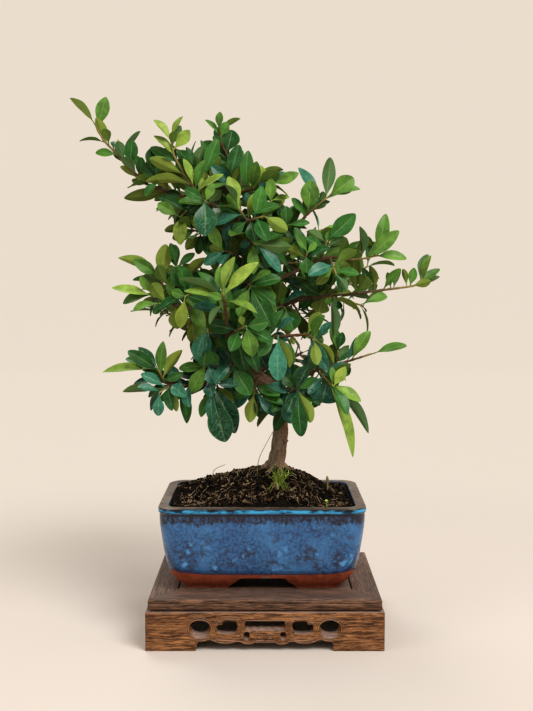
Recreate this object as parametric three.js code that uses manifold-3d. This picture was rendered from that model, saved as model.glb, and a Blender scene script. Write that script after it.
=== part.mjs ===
// A scarlet firethorn bonsai in its glazed pot, on an openwork wooden stand.
// Millimetres, +Z up, front towards -Y. The group is moved at the end so that its origin is the
// bottom centre of its bounding box.
import * as THREE from 'three';
import { mergeVertices } from 'three/addons/utils/BufferGeometryUtils.js';
import Module from 'manifold-3d';

const wasm = await Module();
wasm.setup();

// Driving dimensions.
const GAP = 0.3;

const STAND = {
  length: 198.25, width: 148.5, top: 43.75,
  sideMember: 23, endMember: 30,
  grooveTop: 39.25, grooveBottom: 38.75, grooveDepth: 0.8,
  frameBottom: 34.25, waistInset: 3, apronTop: 33, apronProud: 2, apronThickness: 9,
  ledge: 4, panelBottom: 37.25, panelTop: 43.75, panelGap: 0.8,
  frontFoot: 42, sideFoot: 38,
};

const POT = {
  length: 180, width: 127.75, centre: [-2.4, 0.7], top: 118.5, corner: 16, perCorner: 4,
  foot: STAND.top, footHeight: 7.75, footWall: 12,
  floor: 57, wallTop: 9.5, wallFloor: 16,
  frontGap: [60, 40], sideGap: [36, 24], drainRadius: 7, drainSpacing: 70,
};

const SOIL = {
  edge: 112, peak: 145.5, centre: [6, 0], reachLeft: 104, reachRight: 58, reachDeep: 61, grain: 1.5,
  perSide: 2,
};

const SCREEN = { size: 24, thickness: 1.25, hole: 6, pitch: 9, perSide: 2 };

// The places of wood and leaves are read as x and z on the plane y = 0 as seen from this point,
// and are moved along the line of sight to their own depth y.
const EYE = new THREE.Vector3(1.3, -890.4, 310.8);

// Trunk: x, z, depth y and radius of each point of its centreline.
const TRUNK = [
  [9, 80, 0, 6.5], [9, 120, 0, 8.6], [9.2, 144, 0, 8], [11.3, 158, 1, 6.8], [13.6, 178, 2, 6.3],
  [14.5, 195.5, 2, 6.3], [10, 213.6, 0, 6.4], [-2.8, 222.6, -3, 6.4], [-13.8, 229, -4, 6.2],
  [-27.5, 239, -4, 6], [-33, 252.5, -2, 5.6], [-33, 266, 0, 5.3], [-28.5, 284, 2, 5],
  [-23, 307, 4, 4.5], [-17.5, 329.5, 5, 4.1], [-19.3, 352, 4, 3.7], [-26.6, 373, 2, 3.2],
  [-30, 393, 0, 2.6], [-29, 410, 0, 2],
];

// Surface roots: direction in degrees, reach and radius.
const ROOTS = [[-105, 15, 4.6], [-25, 17, 4.4], [55, 14, 4], [130, 15, 4.4], [200, 18, 4.8]];

// Each branch is a node: wood holds its limb and twigs as [first radius, last radius, points],
// leaves holds the leaves that give it its outline as [root x, root z, tip x, tip z, width, face],
// and fill is how many smaller leaves the rule sets between them. The face is u for a leaf that
// shows its upper side to the front, and l for one that shows its lower side.
const BRANCHES = {
  branch_top_left: {
    wood: [
      [2.7, 1.7, [-26, 372, 2], [-48, 380, -8], [-72, 388, -12], [-90, 392, -14], [-105, 398, -16]],
      [1.7, 1.0, [-105, 398, -16], [-122, 413, -20], [-134, 427, -22], [-144, 437, -24], [-151, 451, -26]],
      [1.4, 1.0, [-84, 390, -13], [-97, 404, -30]],
      [1.4, 1.0, [-60, 384, -10], [-76, 369, -28]],
    ],
    leaves: [
      [-151, 450, -173, 474, 6, 'l'], [-146, 447, -141, 475, 12, 'u'], [-140, 435, -150, 457, 9, 'l'],
      [-131, 424, -151, 426, 7, 'u'],
      [-128, 424, -131, 438, 5, 'u'], [-127, 421, -111, 445, 4, 'l'], [-118, 413, -118, 437, 12, 'u'],
      [-112, 405, -110, 422, 9, 'u'], [-112, 405, -129, 414, 6, 'l'],
      [-105, 398, -119, 402, 6, 'l'], [-97, 403, -97, 432, 19, 'u'], [-86, 391, -126, 386, 11, 'l'],
      [-84, 391, -101, 395, 7, 'u'], [-80, 390, -99, 384, 6, 'l'], [-73, 387, -88, 391, 8, 'u'],
      [-92, 397, -90, 413, 5, 'l'], [-94, 399, -108, 413, 9, 'u'], [-77, 370, -96, 381, 11, 'u'],
      [-64, 380, -79, 362, 11, 'u'], [-70, 375, -87, 377, 8, 'l'],
    ],
    fill: 4,
  },
  branch_yellow_shoot: {
    wood: [
      [2.2, 1.5, [-26, 364, 3], [-40, 372, -12], [-50, 380, -24], [-55, 384, -28]],
      [1.5, 1.0, [-55, 384, -28], [-63, 395, -31], [-73, 409, -34], [-81, 423, -36], [-84, 438, -38]],
      [1.4, 1.1, [-48, 378, -21], [-54, 384, -50]],
    ],
    leaves: [
      [-84, 436, -99, 455, 6, 'u'], [-83, 438, -73, 458, 4, 'u'], [-83, 436, -75, 450, 8, 'l'],
      [-80, 428, -67, 446, 11, 'u'], [-81, 424, -99, 441, 6, 'u'], [-64, 397, -73, 421, 6, 'u'],
      [-60, 392, -37, 407, 5, 'u'], [-58, 390, -56, 404, 6, 'u'], [-71, 407, -103, 421, 11, 'l'],
      [-66, 398, -106, 401, 8, 'l'], [-54, 384, -54, 352, 20, 'u'], [-52, 384, -46, 399, 8, 'u'],
      [-50, 382, -39, 393, 9, 'l'], [-54, 384, -72, 394, 10, 'u'], [-54, 384, -68, 374, 10, 'u'],
    ],
    fill: 2,
  },
  branch_high_left: {
    wood: [[1.9, 1.0, [-30, 392, 0], [-44, 399, -10], [-56, 404, -16], [-65, 410, -18]]],
    leaves: [
      [-56, 404, -42, 438, 12, 'u'], [-64, 410, -55, 432, 9, 'l'], [-59, 406, -62, 423, 6, 'l'],
      [-48, 402, -57, 437, 7, 'u'], [-50, 403, -40, 422, 8, 'l'], [-45, 401, -47, 418, 8, 'u'],
      [-63, 409, -70, 431, 7, 'u'],
    ],
    fill: 2,
  },
  branch_top: {
    wood: [[1.9, 1.0, [-29, 406, 0], [-32, 420, -4], [-39, 434, -8], [-41, 446, -9]]],
    leaves: [
      [-41, 441, -53, 455, 4, 'u'], [-41, 445, -40, 462, 7, 'u'], [-40, 441, -34, 453, 9, 'u'],
      [-40, 442, -22, 456, 4, 'l'], [-34, 424, -29, 446, 17, 'u'], [-38, 431, -46, 441, 7, 'u'],
      [-31, 415, -48, 424, 8, 'u'],
    ],
    fill: 1,
  },
  branch_high_right: {
    wood: [
      [2.1, 1.3, [-29, 384, 1], [-24, 390, -10], [-16, 393, -18], [-12, 394, -20]],
      [1.3, 1.0, [-25, 389, -8], [-32, 405, -24]],
      [1.3, 1.0, [-12, 394, -20], [8, 399, -20]],
    ],
    leaves: [
      [-31, 404, -23, 433, 13, 'u'], [-17, 393, -15, 428, 12, 'u'], [-22, 391, -20, 428, 9, 'l'],
      [-12, 394, 14, 413, 11, 'l'], [6, 399, 30, 408, 10, 'u'], [-3, 396, -4, 415, 5, 'u'],
      [4, 398, 12, 409, 7, 'l'],
    ],
    fill: 3,
  },
  branch_front_upper: {
    wood: [
      [2.3, 1.5, [-17.5, 333, 5], [-15, 345, -12], [-15, 357, -28], [-16, 366, -38]],
      [1.4, 1.0, [-16, 366, -38], [-1, 370, -46]],
      [1.4, 1.0, [-16, 366, -38], [-24, 378, -43]],
      [1.4, 1.0, [-15, 349, -17], [-8, 345, -42]],
      [1.3, 1.0, [-15, 356, -27], [-4, 366, -24], [3, 378, -26], [6, 384, -27]],
    ],
    leaves: [
      [-1, 370, 20, 357, 12, 'l'], [-14, 367, -9, 347, 13, 'u'], [-16, 366, -29, 356, 9, 'u'],
      [-23, 377, -33, 405, 11, 'u'], [-24, 376, -36, 398, 5, 'l'], [-19, 370, 13, 379, 8, 'u'],
      [-8, 345, 23, 343, 12, 'l'], [-9, 345, 14, 320, 9, 'u'], [-10, 346, 20, 326, 7, 'u'],
      [-12, 347, -23, 343, 7, 'u'], [-8, 345, -5, 336, 6, 'u'], [-14, 350, -40, 358, 5, 'l'],
      [4, 381, 5, 404, 10, 'u'], [1, 375, -4, 401, 8, 'u'],
      [5, 382, 22, 387, 5, 'u'],
    ],
    fill: 3,
  },
  branch_mid_left: {
    wood: [[2.2, 1.1, [-20, 352, 4], [-42, 352, -10], [-57, 356, -18], [-67, 358, -21]]],
    leaves: [
      [-66, 358, -90, 357, 7, 'l'], [-63, 357, -83, 350, 11, 'u'], [-57, 356, -60, 336, 9, 'u'],
      [-59, 356, -71, 340, 9, 'l'], [-47, 353, -45, 322, 12, 'l'], [-42, 352, -37, 328, 9, 'u'],
      [-52, 354, -60, 366, 8, 'u'], [-40, 352, -50, 366, 8, 'u'],
    ],
    fill: 4,
  },
  branch_left: {
    wood: [
      [3.0, 1.6, [-23, 303, 4], [-50, 300, -8], [-73, 303, -16], [-92, 308, -20]],
      [1.5, 1.0, [-92, 308, -20], [-96, 319, -27]],
      [1.5, 1.0, [-86, 306, -19], [-102, 299, -30]],
      [1.3, 1.0, [-74, 303, -16], [-80, 326, -25]],
      [1.3, 1.0, [-66, 302, -13], [-72, 298, -31]],
    ],
    leaves: [
      [-96, 319, -132, 333, 9, 'l'], [-96, 318, -118, 331, 11, 'u'], [-95, 317, -89, 345, 14, 'l'],
      [-96, 317, -114, 325, 7, 'u'], [-95, 314, -119, 313, 5, 'l'], [-80, 325, -85, 346, 8, 'u'],
      [-79, 325, -63, 337, 7, 'u'], [-79, 319, -91, 325, 8, 'l'], [-78, 316, -67, 327, 9, 'l'],
      [-76, 311, -53, 333, 8, 'l'], [-102, 299, -138, 306, 7, 'u'],
      [-101, 299, -128, 292, 8, 'u'], [-98, 301, -103, 309, 9, 'u'], [-100, 300, -112, 288, 5, 'l'],
      [-71, 299, -96, 285, 7, 'u'], [-70, 300, -62, 315, 8, 'u'], [-71, 299, -84, 303, 9, 'u'],
      [-68, 300, -60, 287, 9, 'u'], [-84, 306, -84, 318, 8, 'u'],
    ],
    fill: 4,
  },
  branch_left_low: {
    wood: [
      [2.6, 1.4, [-32, 271, 0], [-50, 279, -14], [-66, 286, -22], [-84, 291, -26], [-93, 292, -28]],
      [1.3, 1.0, [-62, 284, -20], [-70, 270, -32]],
    ],
    leaves: [
      [-92, 292, -119, 285, 6, 'u'], [-92, 291, -101, 283, 7, 'u'], [-80, 289, -79, 269, 15, 'l'],
      [-63, 283, -67, 268, 13, 'l'],
      [-56, 282, -52, 296, 9, 'u'],
    ],
    fill: 3,
  },
  branch_front_rosette: {
    wood: [
      [2.4, 1.5, [-33, 249, -2], [-33, 262, -24], [-35, 279, -48], [-37, 296, -66]],
      [1.3, 1.0, [-33, 263, -26], [-17, 272, -52]],
      [1.3, 1.0, [-37, 296, -66], [-38, 301, -71]],
    ],
    leaves: [
      [-38, 301, -27, 334, 8, 'u'], [-37, 300, -6, 329, 10, 'u'], [-38, 301, -77, 314, 6, 'l'],
      [-38, 300, -73, 303, 6, 'u'], [-37, 297, -51, 301, 7, 'u'], [-37, 298, -7, 283, 5, 'u'],
      [-37, 296, -50, 273, 5, 'l'], [-38, 300, -60, 320, 8, 'u'], [-17, 272, -11, 244, 14, 'u'],
      [-17, 272, 3, 275, 12, 'u'], [-19, 272, -22, 281, 6, 'u'], [-25, 269, -50, 273, 13, 'u'],
      [-25, 268, -18, 231, 17, 'u'], [-20, 270, -6, 230, 12, 'u'], [-37, 295, -22, 290, 6, 'u'],
    ],
    fill: 2,
  },
  branch_front_right: {
    wood: [[2.0, 1.1, [-21, 314, 4], [-16, 312, -16], [-14, 309, -34], [-13, 307, -44]]],
    leaves: [
      [-14, 309, 10, 297, 10, 'u'], [-13, 307, 6, 271, 18, 'u'], [-15, 310, -30, 316, 8, 'u'],
      [-14, 309, -6, 322, 7, 'u'], [-15, 311, 8, 312, 8, 'u'],
    ],
    fill: 3,
  },
  branch_centre: {
    wood: [[2.0, 1.1, [-17, 327, 5], [-22, 332, -12], [-30, 337, -25], [-37, 339, -34]]],
    leaves: [
      [-30, 337, -27, 305, 12, 'u'], [-37, 339, -55, 327, 10, 'u'], [-33, 338, -41, 357, 9, 'u'],
      [-23, 333, -10, 314, 11, 'u'], [-25, 334, -13, 346, 9, 'u'], [-36, 338, -50, 343, 8, 'l'],
    ],
    fill: 2,
  },
  branch_right_low: {
    wood: [
      [2.4, 1.4, [-32, 258, -1], [-14, 258, -16], [1, 261, -22], [23, 263, -26], [38, 264, -30]],
      [1.3, 1.0, [5, 262, -23], [12, 263, -42]],
      [1.3, 1.0, [38, 264, -30], [46, 259, -38]],
    ],
    leaves: [
      [12, 263, 12, 222, 16, 'u'], [10, 264, 22, 234, 9, 'l'],
      [8, 263, -3, 250, 6, 'l'], [38, 264, 50, 284, 12, 'l'], [42, 262, 57, 267, 6, 'u'],
      [42, 262, 53, 258, 9, 'l'], [40, 263, 57, 230, 12, 'u'], [44, 260, 47, 236, 10, 'l'],
      [45, 260, 62, 238, 6, 'l'], [24, 263, 26, 255, 6, 'l'], [5, 262, 4, 275, 10, 'u'],
    ],
    fill: 2,
  },
  branch_right_long: {
    wood: [
      [3.0, 1.7, [-29, 281, 2], [-8, 285, -2], [14, 290, -4], [32, 296, -8], [64, 300, -13], [82, 301, -16]],
      [1.6, 1.0, [82, 301, -16], [98, 303, -18], [114, 305, -20], [130, 307, -22], [142, 310, -24]],
      [1.3, 1.0, [12, 290, -4], [18, 288, -22]],
      [1.3, 1.0, [50, 298, -11], [60, 297, -27]],
    ],
    leaves: [
      [81, 301, 79, 341, 12, 'l'], [99, 303, 94, 326, 7, 'l'], [93, 302, 87, 324, 6, 'u'],
      [92, 302, 101, 309, 7, 'l'], [113, 305, 110, 320, 6, 'l'],
      [115, 305, 122, 321, 5, 'l'], [128, 307, 124, 323, 5, 'l'],
      [130, 307, 134, 324, 8, 'u'], [140, 309, 146, 336, 9, 'l'], [142, 310, 149, 335, 6, 'u'],
      [142, 310, 157, 323, 7, 'u'], [141, 310, 157, 316, 6, 'l'], [132, 307, 149, 312, 8, 'l'],
      [74, 300, 94, 297, 6, 'l'], [52, 298, 48, 283, 17, 'l'], [46, 298, 33, 286, 6, 'u'],
      [59, 297, 62, 262, 8, 'l'], [58, 297, 86, 284, 4, 'l'], [52, 298, 32, 311, 12, 'u'],
      [32, 296, 22, 318, 8, 'u'], [18, 288, 26, 268, 19, 'u'], [17, 288, 8, 270, 12, 'u'],
      [14, 290, 18, 298, 7, 'u'],
    ],
    fill: 3,
  },
  branch_right: {
    wood: [
      [3.0, 1.7, [-19, 322, 5], [-2, 312, -6], [14, 314, -13], [35, 325, -20], [59, 334, -26]],
      [1.6, 1.0, [59, 334, -26], [74, 331, -28], [88, 332, -30], [101, 335, -32]],
      [1.4, 1.0, [50, 331, -23], [56, 349, -28]],
      [1.3, 1.0, [33, 324, -20], [38, 338, -36]],
      [1.3, 1.0, [58, 333, -26], [64, 318, -41]],
    ],
    leaves: [
      [100, 335, 108, 372, 12, 'u'], [91, 333, 120, 357, 13, 'u'], [66, 333, 100, 346, 9, 'l'],
      [86, 332, 85, 361, 7, 'l'], [100, 335, 127, 332, 8, 'u'], [100, 335, 107, 343, 6, 'u'],
      [56, 349, 81, 372, 16, 'u'], [56, 345, 61, 357, 9, 'u'], [55, 347, 39, 357, 10, 'l'],
      [55, 345, 72, 351, 7, 'l'], [53, 339, 36, 351, 7, 'u'], [54, 343, 47, 357, 9, 'u'],
      [38, 338, 28, 354, 7, 'u'], [38, 336, 46, 347, 6, 'u'], [37, 333, 17, 342, 8, 'l'],
      [37, 334, 38, 319, 13, 'u'], [36, 331, 58, 342, 7, 'u'], [64, 319, 69, 302, 6, 'u'],
      [64, 318, 74, 303, 6, 'l'], [60, 329, 77, 325, 8, 'l'], [62, 325, 50, 317, 9, 'u'],
      [63, 322, 85, 318, 7, 'u'], [63, 321, 46, 309, 9, 'l'],
    ],
    fill: 3,
  },
  branch_upper_right: {
    wood: [
      [2.4, 1.5, [-18, 341, 4.5], [2, 351, 2], [20, 358, 0], [32, 365, -4], [37, 371, -7]],
      [1.4, 1.0, [37, 371, -7], [56, 387, -14]],
      [1.3, 1.0, [14, 356, 1], [20, 362, -17]],
    ],
    leaves: [
      [38, 372, 41, 402, 17, 'u'], [35, 369, 24, 386, 7, 'u'],
      [48, 380, 30, 413, 9, 'u'], [55, 386, 58, 422, 12, 'l'],
      [56, 387, 79, 404, 17, 'u'], [56, 386, 85, 394, 7, 'u'], [42, 375, 58, 383, 5, 'u'],
      [50, 381, 52, 392, 6, 'l'], [20, 362, 40, 364, 6, 'u'], [17, 360, 33, 355, 8, 'u'],
      [19, 362, 19, 379, 11, 'u'], [17, 360, 8, 377, 10, 'u'], [18, 361, 26, 350, 8, 'u'],
    ],
    fill: 3,
  },
  branch_low_right: {
    wood: [
      [2.5, 1.4, [13, 207, 1], [30, 222, -3], [46, 232, -8], [60, 236, -11], [76, 240, -14]],
      [1.4, 1.0, [76, 240, -14], [98, 247, -20]],
      [1.3, 1.0, [64, 237, -12], [66, 250, -20]],
      [1.4, 1.0, [46, 232, -8], [62, 217, -38]],
    ],
    leaves: [
      [79, 240, 95, 267, 11, 'u'], [98, 247, 128, 254, 7, 'u'],
      [66, 248, 58, 273, 8, 'u'], [66, 249, 70, 266, 8, 'u'],
      [66, 245, 76, 254, 6, 'l'], [67, 238, 76, 227, 12, 'u'], [62, 218, 73, 235, 10, 'u'],
      [61, 219, 60, 235, 6, 'u'], [62, 217, 87, 203, 9, 'u'], [62, 217, 94, 174, 8, 'l'],
      [61, 218, 80, 152, 9, 'u'], [57, 223, 52, 202, 28, 'u'], [50, 231, 40, 245, 8, 'u'],
    ],
    fill: 2,
  },
  branch_bottom_right: {
    wood: [[2.6, 1.2, [14, 200, 2], [22, 209, -16], [28, 214, -30], [30, 214, -43]]],
    leaves: [
      [25, 213, -5, 194, 10, 'u'], [29, 214, 22, 183, 20, 'u'], [30, 214, 33, 171, 14, 'u'],
      [29, 214, 42, 184, 11, 'l'], [28, 214, 17, 227, 12, 'u'], [29, 214, 33, 235, 12, 'u'],
      [27, 213, 12, 227, 5, 'u'], [22, 209, 9, 176, 12, 'u'], [21, 208, -7, 180, 5, 'l'],
      [29, 214, 45, 225, 8, 'u'],
    ],
    fill: 1,
  },
  branch_bottom_left: {
    wood: [
      [2.8, 1.5, [-19, 232, -4], [-44, 222, -16], [-72, 217, -24], [-91, 220, -28]],
      [1.5, 1.0, [-91, 220, -28], [-97, 233, -34]],
      [1.3, 1.0, [-85, 219, -27], [-96, 211, -39]],
      [1.4, 1.0, [-42, 225, -13], [-48, 213, -36]],
      [1.3, 1.0, [-52, 221, -17], [-52, 236, -30], [-52, 254, -38], [-52, 270, -44]],
    ],
    leaves: [
      [-97, 232, -147, 230, 7, 'u'], [-97, 233, -124, 249, 12, 'u'],
      [-96, 230, -126, 242, 9, 'u'], [-97, 233, -92, 258, 10, 'u'], [-94, 224, -75, 250, 9, 'l'],
      [-92, 221, -74, 229, 8, 'u'],
      [-95, 226, -119, 219, 5, 'u'], [-92, 215, -129, 212, 7, 'l'], [-87, 218, -83, 203, 23, 'u'],
      [-96, 211, -97, 190, 10, 'u'], [-91, 216, -80, 194, 8, 'l'], [-80, 217, -71, 183, 10, 'u'],
      [-48, 213, -36, 166, 22, 'u'], [-46, 216, -27, 174, 20, 'u'],
      [-45, 218, -28, 202, 10, 'l'], [-52, 270, -62, 240, 10, 'u'], [-52, 269, -54, 247, 9, 'u'],
      [-52, 258, -56, 235, 14, 'u'], [-52, 252, -43, 236, 9, 'u'], [-52, 238, -67, 211, 13, 'u'],
      [-52, 236, -46, 219, 13, 'u'], [-54, 234, -78, 233, 9, 'u'],
    ],
    fill: 2,
  },
  branch_crook_front: {
    wood: [[1.9, 1.1, [-27, 239, -4], [-30, 239, -20], [-31, 237, -31]]],
    leaves: [
      [-31, 237, -13, 209, 17, 'u'], [-31, 237, -40, 222, 8, 'u'], [-30, 238, -22, 250, 8, 'u'],
    ],
    fill: 1,
  },
  branch_crook_low: {
    wood: [[1.8, 1.1, [-7, 225, -4], [-9, 217, -17], [-10, 211, -26]]],
    leaves: [
      [-10, 211, -14, 184, 12, 'l'], [-9, 214, 8, 213, 8, 'l'], [-10, 212, -30, 208, 9, 'u'],
    ],
    fill: 1,
  },
  branch_back_left: {
    wood: [
      [3.0, 1.6, [-33, 266, 0], [-45, 271, 30], [-60, 276, 58], [-70, 284, 80]],
      [1.4, 1.0, [-52, 273, 42], [-98, 286, 52]],
      [1.4, 1.0, [-60, 276, 58], [-44, 248, 86]],
      [1.4, 1.0, [-70, 284, 80], [-96, 302, 100]],
      [1.4, 1.0, [-66, 280, 70], [-56, 296, 86], [-52, 312, 96]],
    ],
    leaves: [],
    fill: 22,
  },
  branch_back_right: {
    wood: [
      [3.0, 1.6, [-18, 327, 5], [0, 328, 30], [18, 332, 58], [28, 340, 80]],
      [1.4, 1.0, [8, 328, 42], [58, 328, 60]],
      [1.4, 1.0, [18, 332, 58], [50, 358, 76]],
      [1.4, 1.0, [28, 340, 80], [12, 366, 104]],
      [1.4, 1.0, [24, 336, 70], [52, 322, 102]],
    ],
    leaves: [],
    fill: 22,
  },
  branch_back_top: {
    wood: [
      [2.6, 1.4, [-20, 355, 4], [-32, 366, 26], [-46, 378, 46], [-58, 390, 62]],
      [1.4, 1.0, [-40, 372, 36], [-8, 402, 50]],
      [1.4, 1.0, [-46, 378, 46], [-82, 382, 76]],
      [1.4, 1.0, [-58, 390, 62], [-66, 422, 68]],
    ],
    leaves: [],
    fill: 18,
  },
  branch_back_far_right: {
    wood: [
      [2.8, 1.5, [-29, 287, 2], [-8, 291, 24], [22, 297, 44], [50, 301, 58], [70, 306, 66]],
      [1.4, 1.0, [22, 297, 44], [36, 274, 78]],
      [1.4, 1.0, [50, 301, 58], [88, 290, 44]],
      [1.4, 1.0, [70, 306, 66], [92, 326, 84]],
    ],
    leaves: [],
    fill: 19,
  },
  branch_back_low: {
    wood: [
      [2.5, 1.4, [-15, 229, -4], [4, 236, 24], [22, 241, 46], [34, 248, 62]],
      [1.4, 1.0, [4, 236, 24], [-16, 220, 62]],
      [1.4, 1.0, [22, 241, 46], [62, 234, 54]],
    ],
    leaves: [],
    fill: 14,
  },
};

const LEAF = {
  slimness: 0.4, rootSink: 0.15, thickness: 1.25, cup: 0.16, arch: 0.07, clearance: 0.4,
  broadFrom: 12, middleFrom: 5.5, spacing: 2.4, bareWood: 9,
  fillLengths: [22, 34], fillWidth: 0.45, tries: 10,
};

// The tuft: a peg in the soil, with blades that fan out above it.
const GRASS = {
  centre: [12, -34], peg: 2.6, depth: 13, rise: 1.6, blades: 6, heights: [5, 12], reach: [4, 12],
};

// Colours of the finishes.
const FINISH = {
  wood: { color: 0x4a3020, roughness: 0.55, metalness: 0 },
  glaze: { color: 0x2c5f86, roughness: 0.2, metalness: 0 },
  screen: { color: 0x3a3d3a, roughness: 0.7, metalness: 0 },
  soil: { color: 0x2b2019, roughness: 0.95, metalness: 0 },
  bark: { color: 0x4c3828, roughness: 0.85, metalness: 0 },
  leaf: { color: 0x2f6a34, roughness: 0.4, metalness: 0 },
  grass: { color: 0x6f9138, roughness: 0.6, metalness: 0 },
};

const group = new THREE.Group();

// A repeatable draw between 0 and 1 from up to three whole numbers.
function draw(a, b = 0, c = 0) {
  let h = Math.imul(a + 1, 73856093) ^ Math.imul(b + 7, 19349663) ^ Math.imul(c + 13, 83492791);
  h = Math.imul(h ^ (h >>> 13), 1274126177);
  h ^= h >>> 16;
  return (h >>> 0) / 4294967296;
}

// A closed geometry becomes a solid that can be joined and cut.
function solidOf(geometry) {
  const bare = geometry.index ? geometry.clone() : geometry;
  bare.deleteAttribute('normal');
  bare.deleteAttribute('uv');
  const merged = mergeVertices(bare, 1e-4);
  return new wasm.Manifold(new wasm.Mesh({
    numProp: 3,
    vertProperties: new Float32Array(merged.attributes.position.array),
    triVerts: new Uint32Array(merged.index.array),
  }));
}

function geometryOf(solid) {
  const mesh = solid.getMesh();
  const geometry = new THREE.BufferGeometry();
  geometry.setAttribute('position', new THREE.BufferAttribute(mesh.vertProperties, 3));
  geometry.setIndex(new THREE.BufferAttribute(mesh.triVerts, 1));
  return geometry;
}

function addPart(name, solid, finish) {
  const material = new THREE.MeshStandardMaterial({ ...FINISH[finish], flatShading: true });
  const mesh = new THREE.Mesh(geometryOf(solid), material);
  mesh.name = name;
  group.add(mesh);
}

function union(solids) {
  return solids.reduce((whole, solid) => whole.add(solid));
}

// A closed surface from rings of points with the same count, capped at both ends. A ring of one
// point closes to a tip.
function skin(rings) {
  const positions = [];
  const starts = [];
  for (const ring of rings) {
    starts.push(positions.length / 3);
    ring.forEach((p) => positions.push(p.x, p.y, p.z));
  }
  const index = [];
  for (let i = 0; i < rings.length - 1; i += 1) {
    const n = Math.max(rings[i].length, rings[i + 1].length);
    for (let j = 0; j < n; j += 1) {
      const k = (j + 1) % n;
      const [a, b] = [starts[i] + j, starts[i] + k];
      const [c, d] = [starts[i + 1] + j, starts[i + 1] + k];
      if (rings[i + 1].length === 1) index.push(a, b, starts[i + 1]);
      else if (rings[i].length === 1) index.push(starts[i], d, c);
      else index.push(a, b, d, a, d, c);
    }
  }
  const first = rings[0];
  const last = rings[rings.length - 1];
  for (let j = 1; j < first.length - 1; j += 1) index.push(0, j + 1, j);
  const end = starts[rings.length - 1];
  for (let j = 1; j < last.length - 1; j += 1) index.push(end, end + j, end + j + 1);
  const geometry = new THREE.BufferGeometry();
  geometry.setAttribute('position', new THREE.BufferAttribute(new Float32Array(positions), 3));
  geometry.setIndex(index);
  return geometry;
}

function box(low, high) {
  const [dx, dy, dz] = [0, 1, 2].map((i) => high[i] - low[i]);
  const geometry = new THREE.BoxGeometry(dx, dy, dz);
  geometry.translate(low[0] + dx / 2, low[1] + dy / 2, low[2] + dz / 2);
  return solidOf(geometry);
}

// An outline in x and z with holes, pushed along y from y0 to y1.
function plate(outline, holes, y0, y1) {
  const shape = new THREE.Shape(outline.map((p) => new THREE.Vector2(p[0], p[1])));
  shape.holes = holes.map((hole) => new THREE.Path(hole.map((p) => new THREE.Vector2(p[0], p[1]))));
  const geometry = new THREE.ExtrudeGeometry(shape, { depth: y1 - y0, bevelEnabled: false });
  geometry.rotateX(Math.PI / 2);
  geometry.translate(0, y1, 0);
  return solidOf(geometry);
}

// Stand

// Thin upright cuts along the mitres from the inner corners out through the outer corners.
function mitreCuts(outer, inner) {
  const cuts = [];
  for (const sx of [-1, 1]) {
    for (const sy of [-1, 1]) {
      const run = [outer[0] - inner[0], outer[1] - inner[1]];
      const geometry = new THREE.BoxGeometry(Math.hypot(...run) * 2.4, GAP, STAND.top * 3);
      geometry.rotateZ(Math.atan2(run[1] * sy, run[0] * sx));
      geometry.translate((sx * (outer[0] + inner[0])) / 2, (sy * (outer[1] + inner[1])) / 2, 0);
      cuts.push(solidOf(geometry));
    }
  }
  return union(cuts);
}

// The four pieces of a mitred ring, named by the side that each lies on.
function addFourSides(prefix, ring, cuts) {
  for (const piece of ring.subtract(cuts).decompose()) {
    const bounds = piece.boundingBox();
    const x = (bounds.min[0] + bounds.max[0]) / 2;
    const y = (bounds.min[1] + bounds.max[1]) / 2;
    const alongX = Math.abs(x) < Math.abs(y);
    const side = alongX ? (y < 0 ? 'front' : 'back') : (x < 0 ? 'left' : 'right');
    addPart(`${prefix}_${side}`, piece, 'wood');
  }
}

function frameRing(z0, z1, inset, hx, hy) {
  const [ox, oy] = [STAND.length / 2 - inset, STAND.width / 2 - inset];
  return box([-ox, -oy, z0], [ox, oy, z1]).subtract(box([-hx, -hy, z0 - 1], [hx, hy, z1 + 1]));
}

function addFrame() {
  const [ox, oy] = [STAND.length / 2, STAND.width / 2];
  const [ix, iy] = [ox - STAND.sideMember, oy - STAND.endMember];
  const [lx, ly] = [ix - STAND.ledge, iy - STAND.ledge];
  const ring = union([
    frameRing(STAND.apronTop, STAND.frameBottom, STAND.waistInset, lx, ly),
    frameRing(STAND.frameBottom, STAND.panelBottom, 0, lx, ly),
    frameRing(STAND.panelBottom, STAND.grooveBottom, 0, ix, iy),
    frameRing(STAND.grooveBottom, STAND.grooveTop, STAND.grooveDepth, ix, iy),
    frameRing(STAND.grooveTop, STAND.top, 0, ix, iy),
  ]);
  addFourSides('stand_frame', ring, mitreCuts([ox, oy], [ix, iy]));
  const [px, py] = [ix - STAND.panelGap, iy - STAND.panelGap];
  addPart('stand_panel', box([-px, -py, STAND.panelBottom], [px, py, STAND.panelTop]), 'wood');
}

function mirrored(points) {
  return [...points, ...points.map(([x, z]) => [-x, z]).reverse()];
}

// The lower edge of an apron from its middle to its end, in shares of the length between feet.
function apronOutline(half, foot) {
  const clear = half - foot;
  const scallops = [
    [0.03, 5], [0.1, 7], [0.2, 7.25], [0.34, 6], [0.49, 7.25], [0.64, 6], [0.79, 7.25], [0.92, 6.8],
    [0.97, 4], [1, 2], [1, 0],
  ].map(([share, z]) => [share * clear, z]);
  return mirrored([...scallops, [half, 0], [half, STAND.apronTop]]);
}

function ovalHole(x, z, rx, rz, points) {
  const curve = new THREE.EllipseCurve(x, z, rx, rz, 0, Math.PI * 2);
  return curve.getPoints(points).slice(0, -1).map((p) => [p.x, p.y]);
}

function cloudHole(x, scale) {
  const lobes = [
    [-9.1, -0.2], [-7.6, 4.3], [-4.4, 5.1], [2.6, 5.1], [4.1, 2.4], [7.6, 2.1], [9.1, -0.8],
    [6.4, -5.2], [-7, -5.2],
  ];
  return lobes.map(([dx, dz]) => [x + Math.sign(x) * dx * scale, 20.4 + dz]);
}

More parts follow.
